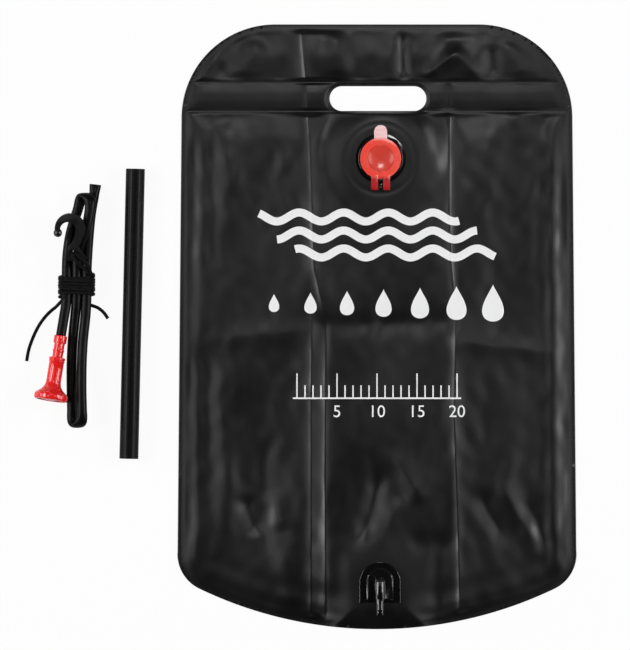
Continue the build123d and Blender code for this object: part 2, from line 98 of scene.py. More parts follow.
# Routes of the hose and the tie cord, in millimetres
HOSE_DIAMETER = 9.5
HOSE_WALL = 1.25
HOSE_SPREAD = 0.16
HOSE_FLATTENING = 0.3
CORD_DIAMETER = 3.4
HOSE_ROUTE = [
    (-315.97, -8.8, 11.99),
    (-313.35, 7.73, 10.52),
    (-310.3, 24.5, 8.6),
    (-310.3, 57.5, 8.6),
    (-309.6, 74.0, 7.4),
    (-307.0, 92.0, 5.8),
    (-302.8, 107.0, 4.95),
    (-298.9, 118.0, 4.95),
    (-297.0, 126.9, 4.95),
    (-293.9, 131.2, 8.0),
    (-289.6, 131.2, 12.4),
    (-286.5, 126.9, 15.5),
    (-287.0, 116.0, 15.2),
    (-289.8, 101.0, 14.9),
    (-296.2, 84.0, 12.8),
    (-299.9, 70.0, 9.9),
    (-300.35, 57.0, 8.6),
    (-300.35, 25.0, 8.6),
    (-302.0, 9.0, 6.6),
    (-304.4, -12.0, 4.95),
    (-305.6, -37.0, 4.95),
    (-305.5, -62.0, 4.95),
    (-305.0, -80.0, 4.95),
    (-304.8, -93.2, 4.95),
    (-301.8, -97.8, 8.45),
    (-297.6, -97.8, 13.45),
    (-294.6, -93.2, 17.0),
    (-294.9, -80.0, 16.6),
    (-295.4, -60.0, 14.6),
    (-295.2, -36.0, 11.6),
    (-294.0, -12.0, 9.4),
    (-291.6, 8.0, 8.7),
    (-290.4, 25.0, 8.6),
    (-290.4, 57.0, 8.6),
    (-289.6, 72.0, 7.2),
    (-288.4, 90.0, 5.4),
    (-286.9, 107.0, 4.95),
    (-285.2, 120.0, 4.95),
    (-282.8, 131.5, 5.0),
    (-281.6, 142.5, 5.6),
]
LEFT_STRAND = [
    (-304.45, 74.0, 17.2),
    (-304.45, 73.0, 26.2),
    (-302.6, 68.4, 25.7),
    (-299.0, 63.8, 22.8),
    (-294.2, 59.8, 17.9),
]
RIGHT_STRAND = [
    (-300.75, 74.0, 17.2),
    (-300.75, 73.2, 26.2),
    (-296.6, 69.6, 25.7),
    (-291.8, 65.0, 22.6),
    (-288.2, 60.8, 17.2),
]
LEFT_TAIL = [
    (-320.4, 20.4, 3.6),
    (-326.2, 16.2, 2.0),
    (-332.6, 9.6, 1.8),
    (-338.4, 1.4, 1.8),
    (-343.2, -8.2, 1.8),
    (-347.2, -18.4, 1.8),
    (-349.6, -27.6, 1.8),
    (-350.4, -34.2, 1.8),
]
RIGHT_TAIL = [
    (-282.0, 20.9, 2.2),
    (-276.6, 17.6, 1.8),
    (-272.2, 13.4, 1.8),
    (-269.2, 8.4, 1.8),
]
# The three hose runs under the cord, and the turns round them
BUNDLE_LEFT = -310.3
BUNDLE_RIGHT = -290.4
BUNDLE_Z = 8.6
WRAP_TOP = 53.0
WRAP_BOTTOM = 30.0
WRAP_RADIUS = 6.75

# Rose: its axis runs from the collar down to the spray plate
ROSE_ORIGIN = (-316.0, -9.0, 12.0062)
ROSE_LEAN = -9.0
ROSE_TILT = 5.0

# Print: the waves' start, end and height, the row of drops, and the level scale with its numerals
WAVES = ((-118, 82, 110), (-100, 100, 92), (-82, 118, 74))
WAVE_WIDTH = 8.0
WAVE_SWING = 4.5
WAVE_LENGTH = 44.5
FIRST_DROP = (-103, 24, 18)
DROP_SPACING = 36.5
DROP_GROWTH = 3.2
SCALE_START = -80
SCALE_UNIT = 8
SCALE_LINE = (-72, -70.4)
TICK = 12
NUMERAL_LINE = -90
NUMERAL_SIZE = 17

# Stage, in metres
STAGE_MIDDLE = (-0.062, 0.002, 0.0)
FOCUS_HEIGHT = 0.006
FLOOR_REACH = 6.0


def smooth(low, high, value):
    """0 below low, 1 above high and the cubic S-curve 3t^2 - 2t^3 between."""
    t = np.clip((value - low) / (high - low), 0.0, 1.0)
    return t * t * (3 - 2 * t)


def bell(value, width):
    """The bell exp(-(value / width)^2)."""
    return np.exp(-((value / width) ** 2))


def spaced(low, high, step, fine_step, fine_stretches):
    """Values from low to high, "step" apart, closing up to "fine_step" over each stretch (middle, reach)."""
    line = np.linspace(low, high, 6000)
    density = np.full_like(line, 1 / step)
    for middle, reach in fine_stretches:
        inside = 1 - smooth(reach, 2 * reach, np.abs(line - middle))
        density = np.maximum(density, 1 / step + inside * (1 / fine_step - 1 / step))
    count = np.concatenate([[0], np.cumsum((density[1:] + density[:-1]) / 2 * np.diff(line))])
    return np.interp(np.linspace(0, count[-1], int(round(count[-1])) + 1), count, line)


def side_at(y):
    """Half the bag's width at the height y, a straight line from the shoulder to the top."""
    share = (BAG_TOP - y) / (BAG_TOP - SHOULDER)
    return SIDE_AT_TOP + share * (SIDE_AT_SHOULDER - SIDE_AT_TOP)


def inside_bag(x, y):
    """Distance inside the bag's edge: straight sides, round top corners, and a bottom bow blended into round
    bottom corners whose centres lie on the ray from the bow's centre."""
    x = np.abs(x)
    side = side_at(y)
    corner_x = side - TOP_CORNER
    corner_y = BAG_TOP - TOP_CORNER
    corner = TOP_CORNER - np.hypot(x - corner_x, y - corner_y)
    top = np.where((x > corner_x) & (y > corner_y), corner, np.minimum(side - x, BAG_TOP - y))
    foot_x = SIDE_AT_SHOULDER - BOTTOM_CORNER
    foot_y = BOW_CENTRE - math.sqrt((BOW_RADIUS - BOTTOM_CORNER) ** 2 - foot_x**2)
    foot = BOTTOM_CORNER - np.hypot(x - foot_x, y - foot_y)
    outside_ray = x * (BOW_CENTRE - foot_y) > foot_x * (BOW_CENTRE - y)
    bow = BOW_RADIUS - np.hypot(x, y - BOW_CENTRE)
    bottom = np.where(outside_ray & (y < foot_y), foot, np.minimum(side - x, bow))
    return np.where(y > 0, top, bottom)


def outside_slot(x, y):
    """Distance outside the handle slot, a stadium: distance from its middle line less half its width."""
    along = np.maximum(np.abs(x - SLOT_CENTRE[0]) - SLOT_REACH, 0)
    return np.hypot(along, y - SLOT_CENTRE[1]) - SLOT_WIDTH / 2


def outside_filler(x, y):
    """Distance outside the filler's base ring."""
    return np.hypot(x - FILLER[0], y - FILLER[1]) - BASE_RING


def outside_patch(x, y):
    """Distance outside the outlet's tombstone patch: a half disc over a rectangle."""
    half = OUTLET_WIDTH / 2
    middle = OUTLET_TOP - half
    disc = np.hypot(x - OUTLET_X, np.maximum(y - middle, 0)) - half
    return np.maximum(disc, OUTLET_FOOT - y)


def fold(x, y, start, end, height, left, right, sharp=0.0):
    """A ridge of that height along the line from start to end: across it a bell, "left" wide on its left side and
    "right" wide on its right side, mixed with the cusp exp(-|t| / width) by "sharp"; along it the ends fade."""
    dx = end[0] - start[0]
    dy = end[1] - start[1]
    length = math.hypot(dx, dy)
    along = ((x - start[0]) * dx + (y - start[1]) * dy) / length
    across = ((x - start[0]) * dy - (y - start[1]) * dx) / length
    width = np.where(across < 0, left, right)
    profile = (1 - sharp) * bell(across, width) + sharp * np.exp(-np.abs(across) / width)
    fade = 0.22 * length
    return height * profile * smooth(-fade, fade, along) * (1 - smooth(length - fade, length + fade, along))


def crease(x, y, line, height, left, right):
    """A packing crease that follows x = f(y) by straight stretches through "line" and has a cusp across it."""
    ys, xs = zip(*sorted((point[1], point[0]) for point in line))
    across = x - np.interp(y, ys, xs)
    width = np.where(across < 0, left, right)
    return height * np.exp(-np.abs(across) / width)


LEFT_CREASE = [(-76, 302), (-71, 246), (-67, 186), (-63, 60), (-51, 4), (-52, -148), (-51, -295)]
LEFT_LINE = [(-65, 10), (-66, -80), (-66, -295)]
RIGHT_CREASE = [(72, 245), (72, 120), (74, 64), (79, 8), (77, -88), (81, -200), (83, -290)]

# Soft folds of the film: start, end, height, width on the left and right side, share of cusp
TOP_FOLDS = [
    ((25, 300), (27, 244), -1.6, 7, 5, 0.3),
    ((79, 275), (44, 246), 1.7, 7, 8, 0.6),
    ((79, 275), (100, 250), 1.3, 8, 9, 0.5),
    ((64, 290), (98, 296), -0.9, 9, 9, 0.0),
    ((-44, 300), (-36, 250), 1.2, 11, 12, 0.0),
    ((-118, 282), (-138, 250), 1.5, 14, 13, 0.0),
    ((-152, 262), (-160, 236), -0.8, 9, 9, 0.0),
    ((132, 286), (146, 250), 1.2, 12, 12, 0.0),
    ((112, 278), (118, 252), -1.0, 8, 8, 0.0),
]
CHAMBER_FOLDS = [
    ((27, 214), (45, 165), -2.2, 7, 9, 0.35),
    ((38, 208), (58, 158), 1.6, 8, 11, 0.0),
    ((-150, 205), (-148, 90), 1.9, 12, 20, 0.0),
    ((-176, 200), (-174, 60), 1.0, 9, 10, 0.0),
    ((-112, 190), (-120, 80), -1.3, 16, 16, 0.0),
    ((108, 205), (106, 70), 1.2, 14, 18, 0.0),
    ((142, 200), (138, 90), -0.9, 14, 14, 0.0),
    ((178, 205), (177, -190), 1.5, 12, 9, 0.0),
    ((80, -14), (176, -26), 1.5, 9, 10, 0.5),
    ((-160, -12), (-72, -4), 1.1, 11, 12, 0.3),
    ((-60, 2), (74, 6), -1.4, 10, 12, 0.25),
    ((-185, -30), (-183, -210), 1.1, 8, 9, 0.0),
    ((-156, -60), (-148, -190), 1.5, 12, 15, 0.0),
    ((-120, -70), (-108, -215), -1.2, 13, 13, 0.0),
    ((-132, -172), (-122, -205), -2.0, 8, 9, 0.2),
    ((-104, -168), (-96, -200), 1.3, 10, 10, 0.0),
    ((-96, -225), (-82, -285), 1.2, 12, 11, 0.0),
    ((16, -128), (42, -168), 1.6, 9, 8, 0.35),
    ((2, -150), (-14, -214), -1.9, 9, 10, 0.2),
    ((20, -176), (2, -226), 1.7, 8, 10, 0.25),
    ((34, -214), (74, -220), -1.2, 11, 11, 0.0),
    ((128, -60), (136, -180), 1.4, 13, 15, 0.0),
    ((104, -168), (128, -214), -2.0, 9, 9, 0.25),
    ((122, -158), (156, -212), 1.7, 9, 10, 0.2),
    ((150, -176), (172, -222), -1.5, 8, 8, 0.2),
    ((60, -232), (66, -296), -1.2, 10, 10, 0.0),
    ((-36, -232), (-40, -296), -1.0, 12, 12, 0.0),
    ((-4, 120), (-10, 30), 0.8, 20, 20, 0.0),
    ((-20, -60), (-12, -130), 0.9, 18, 18, 0.0),
]


def ripple(x, y, seed, shortest, longest):
    """Small uneven waves: eight sine waves of seeded direction, length and phase added together, each along lines
    that a longer wave bends to and fro."""
    draws = np.random.default_rng(seed)
    total = np.zeros_like(x)
    for _ in range(8):
        angle = draws.uniform(-0.5, 0.5)
        length = draws.uniform(shortest, longest)
        phase = draws.uniform(0, TAU)
        along = y * math.cos(angle) - x * math.sin(angle)
        across = x * math.cos(angle) + y * math.sin(angle)
        bend = 0.22 * length * np.sin(TAU * along / (2.7 * length) + phase)
        total += np.sin(TAU * (across + bend) / length + phase)
    return total / 8


def film_height(x, y):
    """Height of the front film, in millimetres. The weld land, plus in the water chamber, the sleeve and the top
    panel a step 1 - exp(-d / 1.4) at the weld and an S-curve rise away from it; plus one broad pillow, a product of
    S-curves, over the chamber; plus two bells along the chamber's edge; plus creases, soft folds and ripples that
    fade out at the seams. It is levelled round the filler and the outlet, pinched in at the two cross welds, and
    has a bead, a bell, along the seam."""
    edge = inside_bag(x, y)
    seam = edge - SEAM
    upper, lower = WELDS
    from_welds = np.minimum(y - lower, upper - y)
    chamber = np.minimum(seam, lower - y)
    sleeve = np.minimum(np.minimum(seam, outside_slot(x, y) - 2.6), from_welds)
    panel = np.minimum(seam, y - upper)
    z = FILM_LAND + np.zeros_like(x)
    for depth, from_weld, (step, rise, reach) in (
        (chamber, lower - y, CHAMBER_RISE),
        (sleeve, from_welds, SLEEVE_RISE),
        (panel, y - upper, PANEL_RISE),
    ):
        z += step * (1 - np.exp(-np.maximum(depth, 0) / 1.4)) * (depth > 0)
        z += rise * smooth(0, reach, seam) * smooth(0, reach, from_weld)
    pillow = smooth(0, 150, side_at(y) - np.abs(x)) * smooth(0, 60, y - BAG_BOTTOM)
    z += PILLOW * pillow * smooth(0, 110, lower - y)
    z += smooth(2, 16, chamber) * (0.5 * bell(seam - 13, 8) - 0.7 * bell(seam - 27, 8))
    folds = np.zeros_like(x)
    for item in CHAMBER_FOLDS:
        folds += CHAMBER_FOLD_GAIN * smooth(1, 20, chamber) * fold(x, y, *item)
    for item in TOP_FOLDS:
        folds += TOP_FOLD_GAIN * smooth(0, 12, panel) * fold(x, y, *item)
    loose = np.maximum(np.maximum(smooth(0.5, 7, chamber), smooth(0, 5, panel)), 0.35 * smooth(0, 3, sleeve))
    top_half = smooth(-20, 40, y)
    for share, line, height, left, right in (
        (top_half, LEFT_CREASE, 3.0, 6, 15),
        (top_half * (1 - smooth(upper - 8, upper + 4, y)), RIGHT_CREASE, -2.8, 9, 5),
        (1 - top_half, LEFT_LINE, 2.8, 6, 15),
        (1 - top_half, LEFT_CREASE, -2.8, 8, 7),
        (1 - top_half, RIGHT_CREASE, 3.3, 6, 16),
    ):
        folds += loose * share * crease(x, y, line, height, left, right)
    folds += loose * (2.1 * ripple(x, y, 7, 46, 120) + 0.5 * ripple(x, y, 3, 18, 40))
    z += folds
    flange = np.hypot(x - FILLER[0], y - FILLER[1]) - FLANGE
    z += (1 - smooth(0, 34, flange)) * (FILM_AT_FITTINGS - z) - 0.45 * bell(flange - 0.8, 1.6)
    z += (1 - smooth(1.5, 40, outside_patch(x, y))) * (FILM_AT_FITTINGS - z)
    for weld in WELDS:
        z += bell(y - weld, 1.5) * smooth(0, 2, seam) * (CROSS_WELD - z)
    return z + 0.35 * bell(edge - SEAM, 0.9)


def link(mesh, name):
    """A new object of that mesh, in the scene, at the origin."""
    piece = bpy.data.objects.new(name, mesh)
    bpy.context.scene.collection.objects.link(piece)
    return piece


def mesh_from(name, points, faces, uv=None):
    """A smooth-shaded piece from points in millimetres, faces as index rows (a row may hold -1 to end a
    triangle), and an optional UV pair for each point."""
    mesh = bpy.data.meshes.new(name)
    sizes = np.where(faces[:, 3] < 0, 3, 4)
    loops = faces[faces >= 0]
    mesh.vertices.add(len(points))
    mesh.vertices.foreach_set("co", (np.asarray(points, dtype=np.float64) * MM).ravel())
    mesh.loops.add(len(loops))
    mesh.loops.foreach_set("vertex_index", loops.astype(np.int32))
    mesh.polygons.add(len(faces))
    mesh.polygons.foreach_set("loop_start", np.concatenate([[0], np.cumsum(sizes)[:-1]]).astype(np.int32))
    mesh.polygons.foreach_set("use_smooth", np.ones(len(faces), dtype=bool))
    if uv is not None:
        layer = mesh.uv_layers.new(name="along_and_round")
        layer.data.foreach_set("uv", np.asarray(uv)[loops].ravel())
    mesh.update(calc_edges=True)
    mesh.validate()
    return link(mesh, name)


def read_points(mesh):
    """The mesh's points, one to a row."""
    points = np.empty(3 * len(mesh.vertices))
    mesh.vertices.foreach_get("co", points)
    return points.reshape(-1, 3)


def mesh_of_curve(curve):
    """The mesh of a curve or a text, which is used up."""
    holder = link(curve, curve.name)
    mesh = bpy.data.meshes.new_from_object(holder)
    bpy.data.objects.remove(holder)
    bpy.data.curves.remove(curve)
    return mesh


def distances(line):
    """How far along the line each of its points is."""
    return np.concatenate([[0], np.cumsum(np.linalg.norm(np.diff(line, axis=0), axis=1))])


def grid_faces(rows, columns, close_rows=False, close_columns=False):
    """Quads between neighbouring points of a grid of points stored row by row."""
    r = np.arange(rows if close_rows else rows - 1)[:, None]
    c = np.arange(columns if close_columns else columns - 1)[None, :]
    a = r * columns + c
    b = r * columns + (c + 1) % columns
    d = ((r + 1) % rows) * columns + c
    e = ((r + 1) % rows) * columns + (c + 1) % columns
    return np.stack([a, b, e, d], axis=-1).reshape(-1, 4)


def weld_points(piece, distance=0.0004):
    """Merges points closer than that many millimetres, so that seams and poles are closed."""
    shape = bmesh.new()
    shape.from_mesh(piece.data)
    bmesh.ops.remove_doubles(shape, verts=shape.verts, dist=distance * MM)
    bmesh.ops.recalc_face_normals(shape, faces=shape.faces)
    shape.to_mesh(piece.data)
    shape.free()
    return piece


def turned(name, profile, origin, axis, across, count=96):
    """A surface of revolution: the closed profile (radius, distance along the axis) is carried round the axis, so
    point = origin + distance * axis + radius * (cos a * across + sin a * across x axis)."""
    profile = np.asarray(profile, dtype=float)
    angle = np.arange(count) / count * TAU
    axis = np.asarray(axis, dtype=float)
    across = np.asarray(across, dtype=float)
    other = np.cross(axis, across)
    round_it = np.cos(angle)[:, None] * across + np.sin(angle)[:, None] * other
    points = (
        np.asarray(origin, dtype=float)
        + profile[:, None, 1:2] * axis
        + profile[:, None, 0:1] * round_it[None, :, :]
    )
    faces = grid_faces(len(profile), count, close_rows=True, close_columns=True)
    return weld_points(mesh_from(name, points.reshape(-1, 3), faces))


def tube(name, path, radii, reference, sides=24, closed=False, wall=0.0, uv_scale=1.0):
    """A tube: an ellipse of half axes radii[:, 0] and radii[:, 1] is carried along the path, its first axis square
    to the path and to the reference direction. With a wall it turns back inside itself and is hollow."""
    path = np.asarray(path, dtype=float)
    if closed:
        tangent = np.roll(path, -1, axis=0) - np.roll(path, 1, axis=0)
    else:
        tangent = np.gradient(path, axis=0)
    tangent /= np.linalg.norm(tangent, axis=1, keepdims=True)
    first = np.cross(tangent, np.asarray(reference, dtype=float))
    first /= np.linalg.norm(first, axis=1, keepdims=True)
    second = np.cross(tangent, first)
    angle = np.arange(sides) / sides * TAU
    ring = np.cos(angle)[None, :, None] * first[:, None] * radii[:, None, 0:1]
    ring = ring + np.sin(angle)[None, :, None] * second[:, None] * radii[:, None, 1:2]
    along = distances(path)
    points = path[:, None] + ring
    if wall:
        inner = path[:, None] + ring * (1 - wall / np.mean(radii, axis=1))[:, None, None]
        points = np.concatenate([points, inner[::-1]])
        along = np.concatenate([along, along[::-1]])
    uv = np.stack(np.broadcast_arrays(along[:, None] * uv_scale, (angle / TAU)[None, :]), axis=-1)
    faces = grid_faces(len(points), sides, close_rows=closed or bool(wall), close_columns=True)
    points = points.reshape(-1, 3)
    if not (closed or wall):
        first_ring = np.arange(sides)
        last_ring = len(points) - sides + first_ring
        start_cap = np.stack([np.full(sides, len(points)), np.roll(first_ring, -1), first_ring], axis=1)
        end_cap = np.stack([np.full(sides, len(points) + 1), last_ring, np.roll(last_ring, -1)], axis=1)
        caps = np.concatenate([start_cap, end_cap])
        faces = np.concatenate([faces, np.column_stack([caps, np.full(len(caps), -1)])])
        points = np.concatenate([points, path[[0, -1]]])
        uv = np.concatenate([uv.reshape(-1, 2), [[0, 0.5], [along[-1] * uv_scale, 0.5]]])
    return weld_points(mesh_from(name, points, faces, uv.reshape(-1, 2)))


def nurbs_line(name, route, resolution):
    """Points along the smooth spline of order 3 whose control points are the route, in millimetres."""
    curve = bpy.data.curves.new(name, "CURVE")
    curve.dimensions = "3D"
    curve.resolution_u = resolution
    spline = curve.splines.new("NURBS")
    spline.points.add(len(route) - 1)
    flat = np.column_stack([np.asarray(route, dtype=float) * MM, np.ones(len(route))])
    spline.points.foreach_set("co", flat.ravel())
    spline.order_u = 3
    spline.use_endpoint_u = True
    mesh = mesh_of_curve(curve)
    line = read_points(mesh) / MM
    bpy.data.meshes.remove(mesh)
    return line


def evenly(line, step):
    """The same line read at equal distances of about one step."""
    along = distances(line)
    at = np.linspace(0, along[-1], max(2, int(round(along[-1] / step))) + 1)
    return np.column_stack([np.interp(at, along, line[:, k]) for k in range(3)])


def softened(node, name, width, segments=3):
    """A merged copy of a CAD node with its edges rounded by a bevel, standing for that node."""
    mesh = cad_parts[node].data.copy()
    mesh.name = name
    shape = bmesh.new()
    shape.from_mesh(mesh)
    bmesh.ops.remove_doubles(shape, verts=shape.verts, dist=1e-6)
    bmesh.ops.dissolve_limit(shape, angle_limit=math.radians(1.0), verts=shape.verts, edges=shape.edges)
    shape.to_mesh(mesh)
    shape.free()
    mesh.shade_smooth()
    piece = link(mesh, name)
    bevel = piece.modifiers.new("rounded_edges", "BEVEL")
    bevel.width = width * MM
    bevel.segments = segments
    bevel.limit_method = "ANGLE"
    bevel.angle_limit = math.radians(32)
    bevel.harden_normals = True
    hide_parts(node)
    return piece


class Nodes:
    """A node tree and short ways to build it."""

    def __init__(self, tree):
        self.tree = tree

    def node(self, kind, **values):
        """A new node with the named inputs or settings."""
        made = self.tree.nodes.new(kind)
        for key, value in values.items():
            if key in made.inputs:
                made.inputs[key].default_value = value
            else:
                setattr(made, key, value)
        return made

    def join(self, source, target):
        """A link from an output socket to an input socket."""
        self.tree.links.new(source, target)

    def place(self, source="Object", scale=(1.0, 1.0, 1.0)):
        """Object or UV coordinates, stretched by scale."""
        coordinates = self.node("ShaderNodeTexCoord")
        mapping = self.node("ShaderNodeMapping")
        mapping.inputs["Scale"].default_value = scale
        self.join(coordinates.outputs[source], mapping.inputs["Vector"])
        return mapping.outputs["Vector"]

    def noise(self, place, scale, detail=4.0, roughness=0.55):
        """A noise pattern's value."""
        noise = self.node("ShaderNodeTexNoise")
        noise.inputs["Scale"].default_value = scale
        noise.inputs["Detail"].default_value = detail
        noise.inputs["Roughness"].default_value = roughness
        self.join(place, noise.inputs["Vector"])
        return noise.outputs["Fac"]

    def between(self, value, low, high, start=0.3, end=0.7):
        """The pattern's value from start to end, spread from low to high."""
        spread = self.node("ShaderNodeMapRange")
        spread.inputs["From Min"].default_value = start
        spread.inputs["From Max"].default_value = end
        spread.inputs["To Min"].default_value = low
        spread.inputs["To Max"].default_value = high
        self.join(value, spread.inputs["Value"])
        return spread.outputs["Result"]

    def colours(self, value, stops):
        """The pattern's value turned into colours at the stops (position, colour)."""
        ramp = self.node("ShaderNodeValToRGB")
        elements = ramp.color_ramp.elements
        while len(elements) < len(stops):
            elements.new(0.5)
        for element, (position, colour) in zip(elements, stops):
            element.position = position
            element.color = (*colour, 1.0)
        self.join(value, ramp.inputs["Fac"])
        return ramp.outputs["Color"]

    def relief(self, value, distance, strength=1.0, under=None):
        """The pattern's value as a bump that many millimetres high, over another bump if one is given."""
        bump = self.node("ShaderNodeBump")
        bump.inputs["Strength"].default_value = strength
        bump.inputs["Distance"].default_value = distance * MM
        self.join(value, bump.inputs["Height"])
        if under is not None:
            self.join(under, bump.inputs["Normal"])
        return bump.outputs["Normal"]

    def tints(self, value, colour, *stops):
        """The pattern's value turned into that colour, lighter or darker at the stops (position, factor)."""
        return self.colours(value, [(position, shade(colour, factor)) for position, factor in stops])

    def camera_sees(self, share, seen, otherwise, output):
        """One shader mixed in by that share for what the camera sees itself, over another for all other rays."""
        path = self.node("ShaderNodeLightPath")
        mix = self.node("ShaderNodeMixShader")
        self.join(self.between(path.outputs["Is Camera Ray"], 0.0, share, 0.0, 1.0), mix.inputs["Fac"])
        self.join(otherwise, mix.inputs[1])
        self.join(seen, mix.inputs[2])
        self.join(mix.outputs["Shader"], output.inputs["Surface"])


class Surface(Nodes):
    """The nodes of a new material."""

    def __init__(self, name):
        self.material = bpy.data.materials.new(name)
        self.material.use_nodes = True
        super().__init__(self.material.node_tree)
        self.shader = self.tree.nodes["Principled BSDF"]

    def set(self, **values):
        """Numbers and colours on the shader's own sockets."""
        for key, value in values.items():
            socket = key.replace("_", " ")
            if self.shader.inputs[socket].type == "RGBA":
                value = (*value, 1.0)
            self.shader.inputs[socket].default_value = value

    def feed(self, **outputs):
        """Links from outputs to the shader's own sockets."""
        for key, output in outputs.items():
            self.join(output, self.shader.inputs[key.replace("_", " ")])


def shade(colour, factor):
    """A colour made lighter or darker by a factor."""
    return tuple(min(1.0, channel * factor) for channel in colour)


def film_material(look):
    """Black satin film: a fine pebble grain, slow changes of gloss, and faint rubbed patches."""
    s = Surface("black_satin_film")
    s.set(IOR=1.5, Specular_IOR_Level=0.5)
    place = s.place()
    patches = s.noise(place, 9.0, 3.0)
    rubbed = s.noise(place, 26.0, 6.0, 0.65)
    grain = s.noise(place, 1500.0, 2.0)
    waves = s.noise(place, 42.0, 3.0)
    s.feed(Roughness=s.between(patches, look.film_roughness - 0.05, look.film_roughness + 0.07),
           Base_Color=s.tints(rubbed, look.film_colour, (0.35, 0.85), (0.7, 1.35)),
           Normal=s.relief(grain, 0.012, 0.35, s.relief(waves, 0.25, 0.5)))
    return s.material


def ink_material(look):
    """Screen-printed white ink: slightly uneven cover over the film's grain."""
    s = Surface("white_ink")
    s.set(IOR=1.45)
    place = s.place()
    cover = s.noise(place, 420.0, 5.0, 0.7)
    s.feed(Base_Color=s.tints(cover, look.ink_colour, (0.22, 0.82), (0.42, 1.0)),
           Roughness=s.between(cover, 0.5, 0.65),
           Normal=s.relief(s.noise(place, 1500.0, 2.0), 0.01, 0.4))
    return s.material


def moulded_material(name, colour, roughness, glow=0.0, coat=0.0):
    """Moulded plastic: flow marks in the gloss, a faint orange-peel relief and, in a clear colour, light that
    spreads a little inside it."""
    s = Surface(name)
    s.set(IOR=1.49, Coat_Weight=coat, Coat_Roughness=0.06)
    if glow:
        s.set(Subsurface_Weight=glow, Subsurface_Radius=(1.0, 0.16, 0.1), Subsurface_Scale=0.003)
    place = s.place()
    flow = s.noise(place, 60.0, 4.0, 0.6)
    peel = s.noise(place, 700.0, 2.0)
    s.feed(Roughness=s.between(flow, max(0.03, roughness - 0.03), roughness + 0.05),
           Base_Color=s.tints(flow, colour, (0.3, 0.9), (0.7, 1.06)),
           Normal=s.relief(peel, 0.01, 0.3, s.relief(s.noise(place, 130.0, 2.0), 0.03, 0.35)))
    return s.material


def cap_material(look):
    """The cap's clear red plastic: deep red at the ears, paler where the thin tab lets light through, with flow
    marks in the gloss and a faint uneven relief."""
    s = Surface("red_cap_plastic")
    s.set(IOR=1.49, Coat_Weight=0.2, Coat_Roughness=0.08, Subsurface_Weight=0.2,
          Subsurface_Radius=(1.0, 0.16, 0.1), Subsurface_Scale=0.003)
    coordinates = s.node("ShaderNodeTexCoord")
    split = s.node("ShaderNodeSeparateXYZ")
    s.join(coordinates.outputs["Object"], split.inputs["Vector"])
    span = s.between(split.outputs["Y"], 0.0, 1.0, (EARS_END - 3) * MM, (TAB_START + 3) * MM)
    colour = tuple(look.cap_colour)
    pale = tuple(0.4 * channel + 0.6 for channel in colour)
    deep = (0.5 * colour[0], 0.15 * colour[1], 0.25 * colour[2])
    place = s.place()
    s.feed(Base_Color=s.colours(span, [(0.05, deep), (0.13, colour), (0.88, colour), (0.97, pale)]),
           Roughness=s.between(s.noise(place, 60.0, 4.0, 0.6), 0.2, 0.32),
           Normal=s.relief(s.noise(place, 130.0, 2.0), 0.03, 0.3))
    return s.material


def hose_material(look):
    """Soft glossy tubing: streaks along its length and small dents."""
    s = Surface("black_soft_tubing")
    s.set(IOR=1.45, Specular_IOR_Level=0.11, Coat_Weight=0.03, Coat_Roughness=0.08)
    streaks = s.noise(s.place("UV", (0.02, 5.0, 1.0)), 4.0, 4.0)
    dents = s.noise(s.place(), 120.0, 3.0)
    s.feed(Roughness=s.between(streaks, 0.24, 0.42),
           Base_Color=s.tints(streaks, look.hose_colour, (0.3, 0.8), (0.75, 1.5)),
           Normal=s.relief(dents, 0.25, 0.5, s.relief(streaks, 0.1, 0.4)))
    return s.material


def cord_material(look):
    """Braided cord: two crossed wave patterns on the UV map make the plaits, with fine threads on them. The plaits'
    pattern also sets the colour: darker in the grooves between plaits as painted shade, lighter on their crowns as
    a painted highlight.
    """
    s = Surface("black_braid")
    s.set(IOR=1.45, Specular_IOR_Level=0.1, Sheen_Weight=0.02, Sheen_Roughness=0.4)
    plaits = s.node("ShaderNodeMath", operation="MAXIMUM")
    for k, turn in enumerate((1.0, -1.0)):
        wave = s.node("ShaderNodeTexWave", Scale=1.0, Distortion=0.4, bands_direction="DIAGONAL")
        s.join(s.place("UV", (0.55, 2.5 * turn, 0.0)), wave.inputs["Vector"])
        s.join(wave.outputs["Fac"], plaits.inputs[k])
    threads = s.noise(s.place("UV", (3.0, 30.0, 1.0)), 6.0, 2.0)
    # Colour follows the plaits' height: painted shade in the grooves, painted highlight on the crowns.
    s.feed(Base_Color=s.tints(plaits.outputs[0], look.cord_colour, (0.2, 0.5), (0.9, 1.5)),
           Roughness=s.between(threads, 0.38, 0.62),
           Normal=s.relief(threads, 0.05, 0.5, s.relief(plaits.outputs[0], 0.35, 0.9)))
    return s.material


def rod_material(look):
    """Extruded satin tube: fine draw lines along Y and handling marks."""
    s = Surface("black_extruded_tube")
    s.set(IOR=1.5, Specular_IOR_Level=0.08)
    lines = s.noise(s.place("Object", (900.0, 3.0, 900.0)), 1.0, 3.0)
    marks = s.noise(s.place(), 30.0, 6.0, 0.7)
    s.feed(Roughness=s.between(marks, look.rod_roughness - 0.05, look.rod_roughness + 0.08),
           Base_Color=s.tints(marks, look.rod_colour, (0.3, 0.85), (0.7, 1.3)),
           Normal=s.relief(lines, 0.008, 0.15))
    return s.material


def wear(piece, material, body):
    """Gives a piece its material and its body."""
    piece.data.materials.clear()
    piece.data.materials.append(material)
    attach(piece, body)
    return piece


